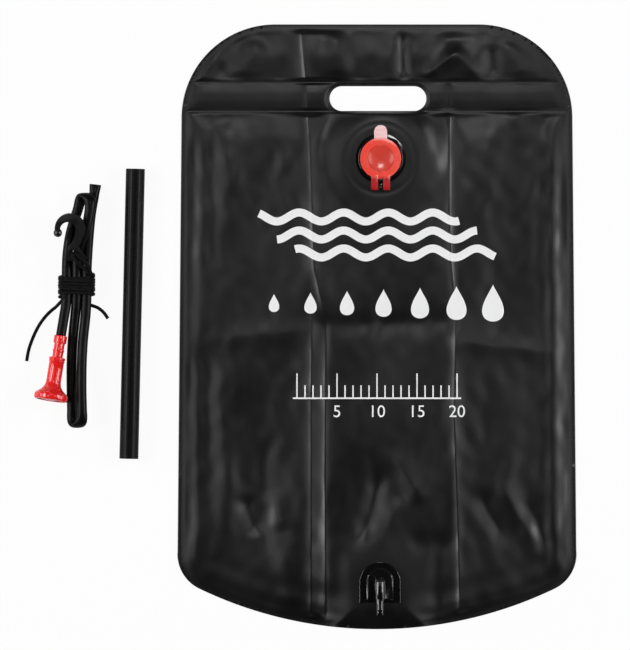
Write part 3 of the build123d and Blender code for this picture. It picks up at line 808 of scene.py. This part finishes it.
class ShowerLook(bpy.types.PropertyGroup):
    """Colours and finishes of the set."""

    film_colour: FloatVectorProperty(
        name="Film", description="Colour of the bag's film", subtype="COLOR", default=(0.0021, 0.002, 0.0021),
        min=0.0, max=1.0)
    film_roughness: FloatProperty(
        name="Film roughness", description="How satin the film is", default=0.35, min=0.1, max=0.9)
    ink_colour: FloatVectorProperty(
        name="Ink", description="Colour of the print", subtype="COLOR", default=(0.88, 0.88, 0.88),
        min=0.0, max=1.0)
    cap_colour: FloatVectorProperty(
        name="Cap", description="Colour of the filler cap", subtype="COLOR", default=(0.88, 0.075, 0.05),
        min=0.0, max=1.0)
    rose_colour: FloatVectorProperty(
        name="Rose", description="Colour of the rose", subtype="COLOR", default=(0.80, 0.014, 0.014),
        min=0.0, max=1.0)
    fitting_colour: FloatVectorProperty(
        name="Fittings", description="Colour of the filler neck and outlet", subtype="COLOR",
        default=(0.003, 0.003, 0.003), min=0.0, max=1.0)
    hose_colour: FloatVectorProperty(
        name="Hose", description="Colour of the hose", subtype="COLOR", default=(0.0025, 0.0025, 0.0025),
        min=0.0, max=1.0)
    cord_colour: FloatVectorProperty(
        name="Cord", description="Colour of the tie cord", subtype="COLOR", default=(0.004, 0.004, 0.004),
        min=0.0, max=1.0)
    hook_colour: FloatVectorProperty(
        name="Hook", description="Colour of the hook", subtype="COLOR", default=(0.005, 0.005, 0.005),
        min=0.0, max=1.0)
    rod_colour: FloatVectorProperty(
        name="Rod", description="Colour of the handle rod", subtype="COLOR", default=(0.004, 0.004, 0.004),
        min=0.0, max=1.0)
    rod_roughness: FloatProperty(
        name="Rod roughness", description="How satin the rod is", default=0.27, min=0.1, max=0.9)


class ShowerStage(bpy.types.PropertyGroup):
    """Camera and lamps."""

    camera_height: FloatProperty(
        name="Camera height", description="Height of the camera over the floor", subtype="DISTANCE",
        unit="LENGTH", default=10.0, min=1.0, max=20.0)
    key_power: FloatProperty(
        name="Side lamps", description="Power of each large lamp at the sides", subtype="POWER", default=52.0,
        min=0.0, max=500.0)
    satin_power: FloatProperty(
        name="Satin lamps", description="Power of the two lamps that bring out the film's folds", subtype="POWER",
        default=4.2, min=0.0, max=500.0)
    fill_power: FloatProperty(
        name="Strip lamps", description="Power of each low strip lamp", subtype="POWER", default=14.0, min=0.0,
        max=500.0)
    top_power: FloatProperty(
        name="Top lamp", description="Power of the small lamp above the top edge", subtype="POWER", default=8.0,
        min=0.0, max=500.0)


class ShowerBuild(bpy.types.PropertyGroup):
    """How finely the surfaces are divided."""

    film_step: FloatProperty(
        name="Film step", description="Distance between the film's points in millimetres", default=2.0, min=1.0,
        max=10.0)
    cord_sides: IntProperty(
        name="Cord sides", description="Points round a cord", default=16, min=6, max=48)


def cut_sheet(name, x_values, y_values, inside, height):
    """A sheet: the point (x, y, height(x, y)) on a grid. Grid points within half a cell of the outline, where
    inside(x, y) is 0, are moved onto it along the slope of "inside", and faces outside it are left out."""
    x, y = np.meshgrid(x_values, y_values)
    depth = inside(x, y)
    cell_x = np.gradient(x_values)[None, :]
    cell_y = np.gradient(y_values)[:, None]
    near = np.abs(depth) <= 0.55 * np.maximum(cell_x, cell_y)
    nudge = 0.01
    for _ in range(2):
        depth_now = inside(x, y)
        slope_x = (inside(x + nudge, y) - inside(x - nudge, y)) / (2 * nudge)
        slope_y = (inside(x, y + nudge) - inside(x, y - nudge)) / (2 * nudge)
        steep = np.maximum(slope_x**2 + slope_y**2, 0.25)
        x = np.where(near, x - depth_now * slope_x / steep, x)
        y = np.where(near, y - depth_now * slope_y / steep, y)
    outside = (~near) & (depth < 0)
    faces = grid_faces(len(y_values), len(x_values))
    out = outside.ravel()[faces]
    middle_x = x.ravel()[faces]
    middle_y = y.ravel()[faces]
    whole = (~out).all(axis=1) & (inside(middle_x.mean(axis=1), middle_y.mean(axis=1)) > 0)
    one_out = out.sum(axis=1) == 1
    kept = faces[one_out]
    lost = out[one_out].argmax(axis=1)
    turn = (lost[:, None] + np.arange(1, 4)[None, :]) % 4
    triangles = np.take_along_axis(kept, turn, axis=1)
    centre = inside(x.ravel()[triangles].mean(axis=1), y.ravel()[triangles].mean(axis=1))
    triangles = triangles[centre > 0]
    faces = np.concatenate([faces[whole], np.column_stack([triangles, np.full(len(triangles), -1)])])
    used = np.zeros(x.size, dtype=bool)
    used[faces[faces >= 0]] = True
    number = np.cumsum(used) - 1
    faces = np.where(faces >= 0, number[faces], -1)
    points = np.column_stack([x.ravel(), y.ravel(), height(x, y).ravel()])[used]
    return mesh_from(name, points, faces)


def back_outline(x, y):
    """Distance inside the back film: inside the bag and outside the slot."""
    return np.minimum(inside_bag(x, y), outside_slot(x, y))


def film_outline(x, y):
    """Distance inside the front film: also outside the filler's ring."""
    return np.minimum(back_outline(x, y), outside_filler(x, y))


def back_height(x, y):
    """Height of the back film: flat on the floor, with shallow ripples that fade out towards the edge."""
    return 0.25 + 0.2 * (1 + ripple(x, y, 7, 34, 95)) * smooth(6, 30, inside_bag(x, y))


class SHOWER_OT_back_film(bpy.types.Operator):
    """Lays the back film on the floor"""

    bl_idname = "shower.back_film"
    bl_label = "Back film"

    def execute(self, context):
        look = context.scene.shower_look
        x = spaced(-SIDE_AT_SHOULDER, SIDE_AT_SHOULDER, 6.0, 3.0, [(SLOT_CENTRE[0], 30)])
        y = spaced(BAG_BOTTOM, BAG_TOP, 6.0, 2.0, [(SLOT_CENTRE[1], 14), (BAG_TOP, 8), (BAG_BOTTOM, 8)])
        piece = cut_sheet("bag_back_film", x, y, back_outline, back_height)
        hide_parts("back_sheet")
        wear(piece, film_material(look), "bag")
        return {"FINISHED"}


class SHOWER_OT_front_film(bpy.types.Operator):
    """Lays the front film with its welds, creases and folds"""

    bl_idname = "shower.front_film"
    bl_label = "Front film"

    def execute(self, context):
        look = context.scene.shower_look
        step = context.scene.shower_build.film_step
        x = spaced(-SIDE_AT_SHOULDER, SIDE_AT_SHOULDER, step, 1.0, [(-62, 12), (77, 7)])
        y = spaced(BAG_BOTTOM, BAG_TOP, step, 0.8, [(WELDS[0], 4), (WELDS[1], 4)])
        piece = cut_sheet("bag_front_film", x, y, film_outline, film_height)
        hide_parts("front_sheet")
        wear(piece, film_material(look), "bag")
        return {"FINISHED"}


def edge_line(count):
    """The bag's edge as a closed line: rays at equal angles from its middle, each stretched until the distance
    inside the bag is 0, by halving the step 30 times."""
    angle = np.arange(count) / count * TAU
    cos = np.cos(angle)
    sin = np.sin(angle)
    low = np.zeros(count)
    high = np.full(count, math.hypot(BAG_TOP, SIDE_AT_SHOULDER) * 1.2)
    for _ in range(30):
        middle = (low + high) / 2
        within = inside_bag(cos * middle, sin * middle) > 0
        low = np.where(within, middle, low)
        high = np.where(within, high, middle)
    return np.column_stack([cos * low, sin * low])


def weld_bead(name, outline, z, half_axes, step, sides):
    """A bead at the height z along a closed flat outline: a tube with an elliptic section."""
    path = evenly(np.column_stack([outline, np.full(len(outline), z)]), step)[:-1]
    return tube(name, path, np.tile(half_axes, (len(path), 1)), (0, 0, 1), sides, closed=True)


class SHOWER_OT_weld_rims(bpy.types.Operator):
    """Runs the welded rims round the bag's edge and round the handle slot"""

    bl_idname = "shower.weld_rims"
    bl_label = "Weld rims"

    def execute(self, context):
        look = context.scene.shower_look
        material = film_material(look)
        edge = edge_line(900)
        beads = [("bag_edge_weld", np.concatenate([edge, edge[:1]]), 0.95, (0.75, 0.85), 1.6, 8)]
        turn = np.linspace(-math.pi / 2, math.pi / 2, 40)
        for name, out, z, radius in (("slot_rim", 1.0, 1.5, 1.15), ("slot_outer_weld", 3.0, 2.0, 0.6)):
            round_end = (SLOT_WIDTH / 2 + out) * np.column_stack([np.cos(turn), np.sin(turn)]) + (SLOT_REACH, 0)
            ring = np.concatenate([round_end, -round_end, round_end[:1]]) + SLOT_CENTRE
            beads.append((name, ring, z, (radius, radius), 1.2, 12))
        for bead in beads:
            wear(weld_bead(*bead), material, "bag")
        return {"FINISHED"}


def on_film(name, outlines, step=1.2, lift=0.2):
    """Flat print laid on the film: the outlines are filled, cut along a grid of that step so that they can bend,
    and each point is set "lift" above the film's height at its place."""
    shape = bmesh.new()
    for outline in outlines:
        points = [shape.verts.new((p[0], p[1], 0.0)) for p in outline]
        shape.faces.new(points)
    low = np.min([np.min(o, axis=0) for o in outlines], axis=0)
    high = np.max([np.max(o, axis=0) for o in outlines], axis=0)
    for k, normal in ((0, (1, 0, 0)), (1, (0, 1, 0))):
        for at in np.arange(math.ceil(low[k] / step) * step, high[k], step):
            place = (at, 0, 0) if k == 0 else (0, at, 0)
            everything = shape.verts[:] + shape.edges[:] + shape.faces[:]
            bmesh.ops.bisect_plane(shape, geom=everything, plane_co=place, plane_no=normal)
    bmesh.ops.triangulate(shape, faces=shape.faces[:])
    mesh = bpy.data.meshes.new(name)
    shape.to_mesh(mesh)
    shape.free()
    points = read_points(mesh)
    points[:, 2] = film_height(points[:, 0], points[:, 1]) + lift
    mesh.vertices.foreach_set("co", (points * MM).ravel())
    mesh.shade_smooth()
    return link(mesh, name)


def band(centre, width):
    """The closed outline of a stripe: the centre line moved half the width to each side along its normals."""
    slope = np.gradient(centre, axis=0)
    normal = np.column_stack([-slope[:, 1], slope[:, 0]]) / np.linalg.norm(slope, axis=1, keepdims=True)
    return np.concatenate([centre + normal * width / 2, (centre - normal * width / 2)[::-1]])


def wave_stripes():
    """Parallel waves, y = height + swing * sin(2 pi x / length), each below the one before and further right."""
    stripes = []
    for start, end, height in WAVES:
        x = np.linspace(start, end, 90)
        y = height + WAVE_SWING * np.sin(TAU * x / WAVE_LENGTH)
        stripes.append(band(np.column_stack([x, y]), WAVE_WIDTH))
    return stripes


def drop(x, y, height):
    """A water drop: the curve (0.42 sin t sin^1.5(t / 2), 0.5 cos t), with its point up, scaled to that height."""
    t = np.linspace(0, TAU, 40, endpoint=False)
    across = np.sin(t) * np.sin(t / 2) ** 1.5 * 0.42 * height
    up = np.cos(t) * height / 2
    return np.column_stack([x + across, y + up])


def drops():
    """A row of seven drops that grow from left to right."""
    x, y, height = FIRST_DROP
    return [drop(x + DROP_SPACING * k, y, height + DROP_GROWTH * k) for k in range(7)]


def box_outline(left, right, low, high):
    """A rectangle's four corners."""
    return np.array([(left, low), (right, low), (right, high), (left, high)], dtype=float)


def scale_marks():
    """A level scale: a base line with a short tick for each unit and a long one for each five."""
    marks = [box_outline(SCALE_START - 4, 4 - SCALE_START, *SCALE_LINE)]
    foot = SCALE_LINE[1]
    for k in range(21):
        x = SCALE_START + SCALE_UNIT * k
        long = 2 * TICK if k % 5 == 0 else TICK
        marks.append(box_outline(x - 0.7, x + 0.7, foot, foot + long))
    return marks


def numeral_outlines(text, x, y, size):
    """The outlines of the faces of a number in Blender's own font, centred on x."""
    curve = bpy.data.curves.new("numeral", "FONT")
    curve.body = text
    curve.size = size
    curve.align_x = "CENTER"
    mesh = mesh_of_curve(curve)
    places = read_points(mesh)[:, :2] + (x, y)
    outlines = [places[list(polygon.vertices)] for polygon in mesh.polygons]
    bpy.data.meshes.remove(mesh)
    return outlines


class SHOWER_OT_print(bpy.types.Operator):
    """Prints waves, drops and a level scale on the front film"""

    bl_idname = "shower.print"
    bl_label = "Print"

    def execute(self, context):
        material = ink_material(context.scene.shower_look)
        numerals = []
        for k in range(1, 5):
            x = SCALE_START + 5 * k * SCALE_UNIT
            numerals += numeral_outlines(str(5 * k), x, NUMERAL_LINE, NUMERAL_SIZE)
        for name, outlines in (
            ("print_waves", wave_stripes()),
            ("print_drops", drops()),
            ("print_scale", scale_marks()),
            ("print_numerals", numerals),
        ):
            wear(on_film(name, outlines), material, "bag")
        return {"FINISHED"}


class SHOWER_OT_filler(bpy.types.Operator):
    """Finishes the filler neck and its cap"""

    bl_idname = "shower.filler"
    bl_label = "Filler neck and cap"

    def execute(self, context):
        look = context.scene.shower_look
        black = moulded_material("black_gloss_neck", look.fitting_colour, 0.1, coat=0.5)
        red = cap_material(look)
        wear(softened("filler_neck", "filler_neck_ring", 0.5), black, "bag")
        cap = softened("filler_cap", "filler_snap_cap", 0.4)
        points = read_points(cap.data) / MM
        from_axis = np.hypot(points[:, 0] - FILLER[0], points[:, 1] - FILLER[1])
        crown = (from_axis < DISH - 0.3) & (points[:, 2] > DISH_FLOOR)
        points[crown, 2] = DISH_FLOOR
        cap.data.vertices.foreach_set("co", (points * MM).ravel())
        wear(cap, red, "cap")
        radius = np.linspace(0, DISH - 0.1, 24)
        hollow = np.column_stack([radius, DISH_FLOOR + 0.05 + DISH_DEPTH * (radius / DISH) ** 2])
        under = np.column_stack([radius[::-1], np.full(24, DISH_FLOOR + 0.02)])
        dish = turned("filler_cap_dish", np.concatenate([under, hollow]), (*FILLER, 0), (0, 0, 1), (1, 0, 0))
        # The dish's red is the cap's red darkened by 0.8: painted shade in the recess.
        shaded_dish_red = moulded_material("red_cap_dish_painted_shade", shade(look.cap_colour, 0.8), 0.2, glow=0.15, coat=0.4)
        wear(dish, shaded_dish_red, "cap")
        return {"FINISHED"}


class SHOWER_OT_outlet(bpy.types.Operator):
    """Finishes the outlet fitting"""

    bl_idname = "shower.outlet"
    bl_label = "Outlet fitting"

    def execute(self, context):
        look = context.scene.shower_look
        black = moulded_material("black_gloss_outlet", look.fitting_colour, 0.1, coat=0.6)
        wear(softened("outlet_fitting", "outlet_elbow", 0.35), black, "bag")
        return {"FINISHED"}


class SHOWER_OT_handle_rod(bpy.types.Operator):
    """Finishes the handle rod"""

    bl_idname = "shower.handle_rod"
    bl_label = "Handle rod"

    def execute(self, context):
        material = rod_material(context.scene.shower_look)
        wear(softened("handle_rod", "carrying_rod", 0.3), material, "rod")
        return {"FINISHED"}


class SHOWER_OT_hose(bpy.types.Operator):
    """Folds the hose along its route, pressed flat at its two folds"""

    bl_idname = "shower.hose"
    bl_label = "Hose"

    def execute(self, context):
        look = context.scene.shower_look
        line = evenly(nurbs_line("hose_route", HOSE_ROUTE, 24), 1.3)
        along = distances(line)
        turn = np.linalg.norm(np.gradient(np.gradient(line, axis=0), axis=0), axis=1)
        kernel = bell(np.arange(-12, 13), 6)
        flat = np.convolve(turn, kernel / kernel.sum(), mode="same")
        flat = np.clip(flat / flat.max(), 0, 1)
        mouth = smooth(10, 0, along[-1] - along)
        radius = HOSE_DIAMETER / 2
        wobble = 0.025 * np.sin(along / 3.1) * flat
        wide = radius * (1.06 + HOSE_SPREAD * (flat + mouth) + wobble)
        thin = radius * (0.95 - HOSE_FLATTENING * (flat + mouth) - wobble)
        radii = np.column_stack([thin, wide])
        piece = tube("shower_hose", line, radii, (1, 0, 0), 32, wall=HOSE_WALL)
        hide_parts("hose")
        wear(piece, hose_material(look), "bundle")
        return {"FINISHED"}


def wrap_points(start_angle, turns, top, bottom, seed):
    """Turns of cord round the bundle: the point of a stadium at the angle a, and y falling evenly from top to
    bottom, with a small seeded waver in height and distance so that no two turns are alike."""
    count = int(round(16 * turns))
    angle = start_angle - np.arange(count + 1) / count * turns * TAU
    draws = np.random.default_rng(seed)
    waver = draws.uniform(-0.35, 0.35, count + 1)
    proud = draws.uniform(0.0, 0.35, count + 1)
    half = (BUNDLE_RIGHT - BUNDLE_LEFT) / 2
    middle = (BUNDLE_RIGHT + BUNDLE_LEFT) / 2
    cos = np.cos(angle)
    sin = np.sin(angle)
    squeeze = np.clip(cos * 2.4, -1, 1) * half
    x = middle + squeeze + cos * (WRAP_RADIUS + 0.3 + proud)
    z = BUNDLE_Z + sin * (WRAP_RADIUS + 0.25)
    y = np.linspace(top, bottom, count + 1) + waver
    return list(zip(x, y, z))


class SHOWER_OT_tie_cord(bpy.types.Operator):
    """Winds the two halves of the tie cord from the hook's eye round the bundle to their loose tails"""

    bl_idname = "shower.tie_cord"
    bl_label = "Tie cord"

    def execute(self, context):
        look = context.scene.shower_look
        material = cord_material(look)
        sides = context.scene.shower_build.cord_sides
        halves = (
            ("tie_cord_left", LEFT_STRAND, 0.31 * math.pi, 3.86, 0.0, LEFT_TAIL, 11,
             ("tie_cord_left_strand", "tie_cord_left_tail", "tie_cord_wraps")),
            ("tie_cord_right", RIGHT_STRAND, 0.24 * math.pi, 3.62, -3.3, RIGHT_TAIL, 5,
             ("tie_cord_right_strand", "tie_cord_right_tail")),
        )
        for name, strand, start, turns, shift, tail, seed, nodes in halves:
            turns_of_cord = wrap_points(start, turns, WRAP_TOP + shift / 2, WRAP_BOTTOM + 3.3 + shift, seed)
            route = strand + turns_of_cord + tail
            line = evenly(nurbs_line(name + "_route", route, 10), 0.7)
            along = distances(line)
            radius = CORD_DIAMETER / 2
            radii = np.full((len(line), 2), radius) * (1 + 0.02 * np.sin(along / 1.1))[:, None]
            piece = tube(name, line, radii, (0.08, 1, 0.05), sides)
            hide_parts(*nodes)
            wear(piece, material, "bundle")
            print(name, "length", round(along[-1], 1))
        return {"FINISHED"}


class SHOWER_OT_hook(bpy.types.Operator):
    """Finishes the hook"""

    bl_idname = "shower.hook"
    bl_label = "Hook"

    def execute(self, context):
        look = context.scene.shower_look
        black = moulded_material("black_satin_hook", look.hook_colour, 0.3, coat=0.2)
        wear(softened("hook", "carrying_hook", 1.1, 4), black, "bundle")
        return {"FINISHED"}


def bezier(corners, count):
    """Points along the Bezier curve with those four corners: the sum of the corners weighted by (1 - t)^3,
    3t(1 - t)^2, 3t^2(1 - t) and t^3."""
    t = np.linspace(0, 1, count)[:, None]
    a, b, c, d = np.asarray(corners, dtype=float)
    return (1 - t) ** 3 * a + 3 * t * (1 - t) ** 2 * b + 3 * t**2 * (1 - t) * c + t**3 * d


def head_profile():
    """The rose head's section (radius, distance from the collar): collar disc, tube, flare, round rim, the seat of
    the spray plate, the hollow behind it and the bore."""
    tube_part = [(5.4, 22.0), (7.6, 22.0), (8.1, 22.4), (8.1, 24.0), (7.5, 24.3), (7.5, 24.9), (7.9, 25.1),
                 (7.9, 26.0), (7.4, 26.3), (7.4, 36.0), (7.4, 45.0)]
    flare = bezier([(7.4, 45.0), (7.4, 53.5), (12.2, 55.2), (15.9, 58.6)], 20)
    rim = bezier([(15.9, 58.6), (17.0, 59.6), (17.0, 60.4), (17.0, 61.6)], 8)
    edge = bezier([(17.0, 61.6), (17.0, 64.6), (16.4, 65.2), (15.0, 65.2)], 10)
    seat = [(14.8, 65.0), (14.8, 61.2), (13.2, 61.2)]
    hollow = bezier([(13.2, 61.2), (11.5, 57.0), (6.7, 47.5), (5.3, 44.5)], 14)
    bore = [(5.3, 26.0), (5.4, 25.0)]
    return np.concatenate([tube_part, flare[1:], rim[1:], edge[1:], seat, hollow[1:], bore])


class SHOWER_OT_rose(bpy.types.Operator):
    """Finishes the rose: stem, seals, head and spray plate"""

    bl_idname = "shower.rose"
    bl_label = "Rose"

    def execute(self, context):
        look = context.scene.shower_look
        red = moulded_material("red_rose_plastic", look.rose_colour, 0.12, glow=0.12, coat=0.4)
        rubber = moulded_material("seal_rubber", (0.02, 0.02, 0.02), 0.5)
        wear(softened("rose_stem", "rose_stem_body", 0.25), red, "bundle")
        wear(softened("rose_o_rings", "rose_seals", 0.1), rubber, "bundle")
        lean = math.radians(ROSE_LEAN)
        tilt = math.radians(ROSE_TILT)
        axis = (math.sin(lean) * math.cos(tilt), -math.cos(lean) * math.cos(tilt), math.sin(tilt))
        across = (math.cos(lean), math.sin(lean), 0.0)
        head = turned("rose_head_bell", head_profile(), ROSE_ORIGIN, axis, across, 128)
        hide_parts("rose_head")
        wear(head, red, "rose")
        wear(softened("spray_plate", "rose_spray_plate", 0.1), red, "rose")
        return {"FINISHED"}


def stage_material():
    """A pale floor that the camera sees nearly white and that still takes the set's shadow."""
    s = Surface("pale_floor")
    s.set(Base_Color=(0.86, 0.86, 0.86), Roughness=0.9, Specular_IOR_Level=0.1)
    glow = s.node("ShaderNodeEmission", Strength=1.0)
    s.camera_sees(0.93, glow.outputs["Emission"], s.shader.outputs["BSDF"], s.tree.nodes["Material Output"])
    return s.material


def studio_world():
    """Daylight studio: pale near the horizon and darker overhead, and white where the camera looks at it."""
    world = bpy.data.worlds.new("studio")
    world.use_nodes = True
    n = Nodes(world.node_tree)
    n.tree.nodes.clear()
    output = n.node("ShaderNodeOutputWorld")
    coordinates = n.node("ShaderNodeTexCoord")
    split = n.node("ShaderNodeSeparateXYZ")
    room = n.node("ShaderNodeBackground")
    white = n.node("ShaderNodeBackground", Color=(1, 1, 1, 1))
    n.join(coordinates.outputs["Generated"], split.inputs["Vector"])
    n.join(n.colours(split.outputs["Z"], [(0.0, (0.3, 0.3, 0.3)), (0.6, (0.012, 0.012, 0.012))]),
           room.inputs["Color"])
    n.camera_sees(1.0, white.outputs["Background"], room.outputs["Background"], output)
    bpy.context.scene.world = world


def lamp(name, place, width, height, power):
    """A rectangular lamp at a place, turned to the middle of the stage."""
    light = bpy.data.lights.new(name, "AREA")
    light.shape = "RECTANGLE"
    light.size = width
    light.size_y = height
    light.energy = power
    holder = link(light, name)
    holder.location = place
    direction = np.array(STAGE_MIDDLE) - place
    pitch = math.acos(-direction[2] / np.linalg.norm(direction))
    heading = math.atan2(direction[1], direction[0]) - math.pi / 2
    holder.rotation_euler = (pitch, 0, heading)
    return holder


class SHOWER_OT_stage(bpy.types.Operator):
    """Sets up the floor, the lamps, the world and the camera"""

    bl_idname = "shower.stage"
    bl_label = "Stage"

    def execute(self, context):
        settings = context.scene.shower_stage
        line = np.linspace(-FLOOR_REACH, FLOOR_REACH, 13) / MM
        x, y = np.meshgrid(line, line)
        points = np.column_stack([x.ravel(), y.ravel(), np.zeros(x.size)])
        floor = mesh_from("floor", points, grid_faces(13, 13))
        floor.data.materials.append(stage_material())
        studio_world()
        for side, name in ((1, "right"), (-1, "left")):
            lamp(name + "_softbox", (side * 2.4, 0.2, 1.95), 2.2, 0.7, settings.key_power)
            lamp(name + "_satin", (side * 1.3, 0.2, 3.0), 1.2, 0.35, settings.satin_power)
            lamp(name + "_strip", (side * 2.4, 0.0, 0.62), 2.2, 0.2, settings.fill_power)
        lamp("top_lamp", (0.0, 1.1, 3.0), 0.5, 0.4, settings.top_power)
        camera = bpy.data.cameras.new("camera")
        holder = link(camera, "camera")
        height = settings.camera_height
        holder.location = (*STAGE_MIDDLE[:2], height)
        camera.sensor_fit = "VERTICAL"
        camera.sensor_height = 24.0
        camera.lens = camera.sensor_height * (height - FOCUS_HEIGHT) / (PHOTO_HEIGHT * MM)
        camera.clip_end = 60.0
        context.scene.camera = holder
        context.scene.view_settings.view_transform = "Standard"
        return {"FINISHED"}


class SHOWER_PT_panel(bpy.types.Panel):
    """Lists the sizes, the colours and the steps"""

    bl_label = "Solar shower"
    bl_idname = "SHOWER_PT_panel"
    bl_space_type = "VIEW_3D"
    bl_region_type = "UI"
    bl_category = "Solar shower"

    def draw(self, context):
        column = self.layout.column()
        for group in (context.scene.shower_look, context.scene.shower_build, context.scene.shower_stage):
            for key in group.__annotations__:
                column.prop(group, key)
        for step in STEPS:
            column.operator(step.bl_idname)


STEPS = (
    SHOWER_OT_stage,
    SHOWER_OT_hook,
    SHOWER_OT_rose,
    SHOWER_OT_hose,
    SHOWER_OT_tie_cord,
    SHOWER_OT_back_film,
    SHOWER_OT_front_film,
    SHOWER_OT_weld_rims,
    SHOWER_OT_print,
    SHOWER_OT_filler,
    SHOWER_OT_outlet,
    SHOWER_OT_handle_rod,
)
GROUPS = (ShowerLook, ShowerStage, ShowerBuild)


def register():
    """Registers the groups, the operators and the panel."""
    for item in (*GROUPS, *STEPS, SHOWER_PT_panel):
        bpy.utils.register_class(item)
    bpy.types.Scene.shower_look = PointerProperty(type=ShowerLook)
    bpy.types.Scene.shower_stage = PointerProperty(type=ShowerStage)
    bpy.types.Scene.shower_build = PointerProperty(type=ShowerBuild)


def unregister():
    """Takes them away again."""
    del bpy.types.Scene.shower_look
    del bpy.types.Scene.shower_stage
    del bpy.types.Scene.shower_build
    for item in reversed((*GROUPS, *STEPS, SHOWER_PT_panel)):
        bpy.utils.unregister_class(item)


def main():
    """Runs every step in order."""
    register()
    for step in STEPS:
        group, call = step.bl_idname.split(".")
        getattr(getattr(bpy.ops, group), call)()


if __name__ == "__main__":
    main()
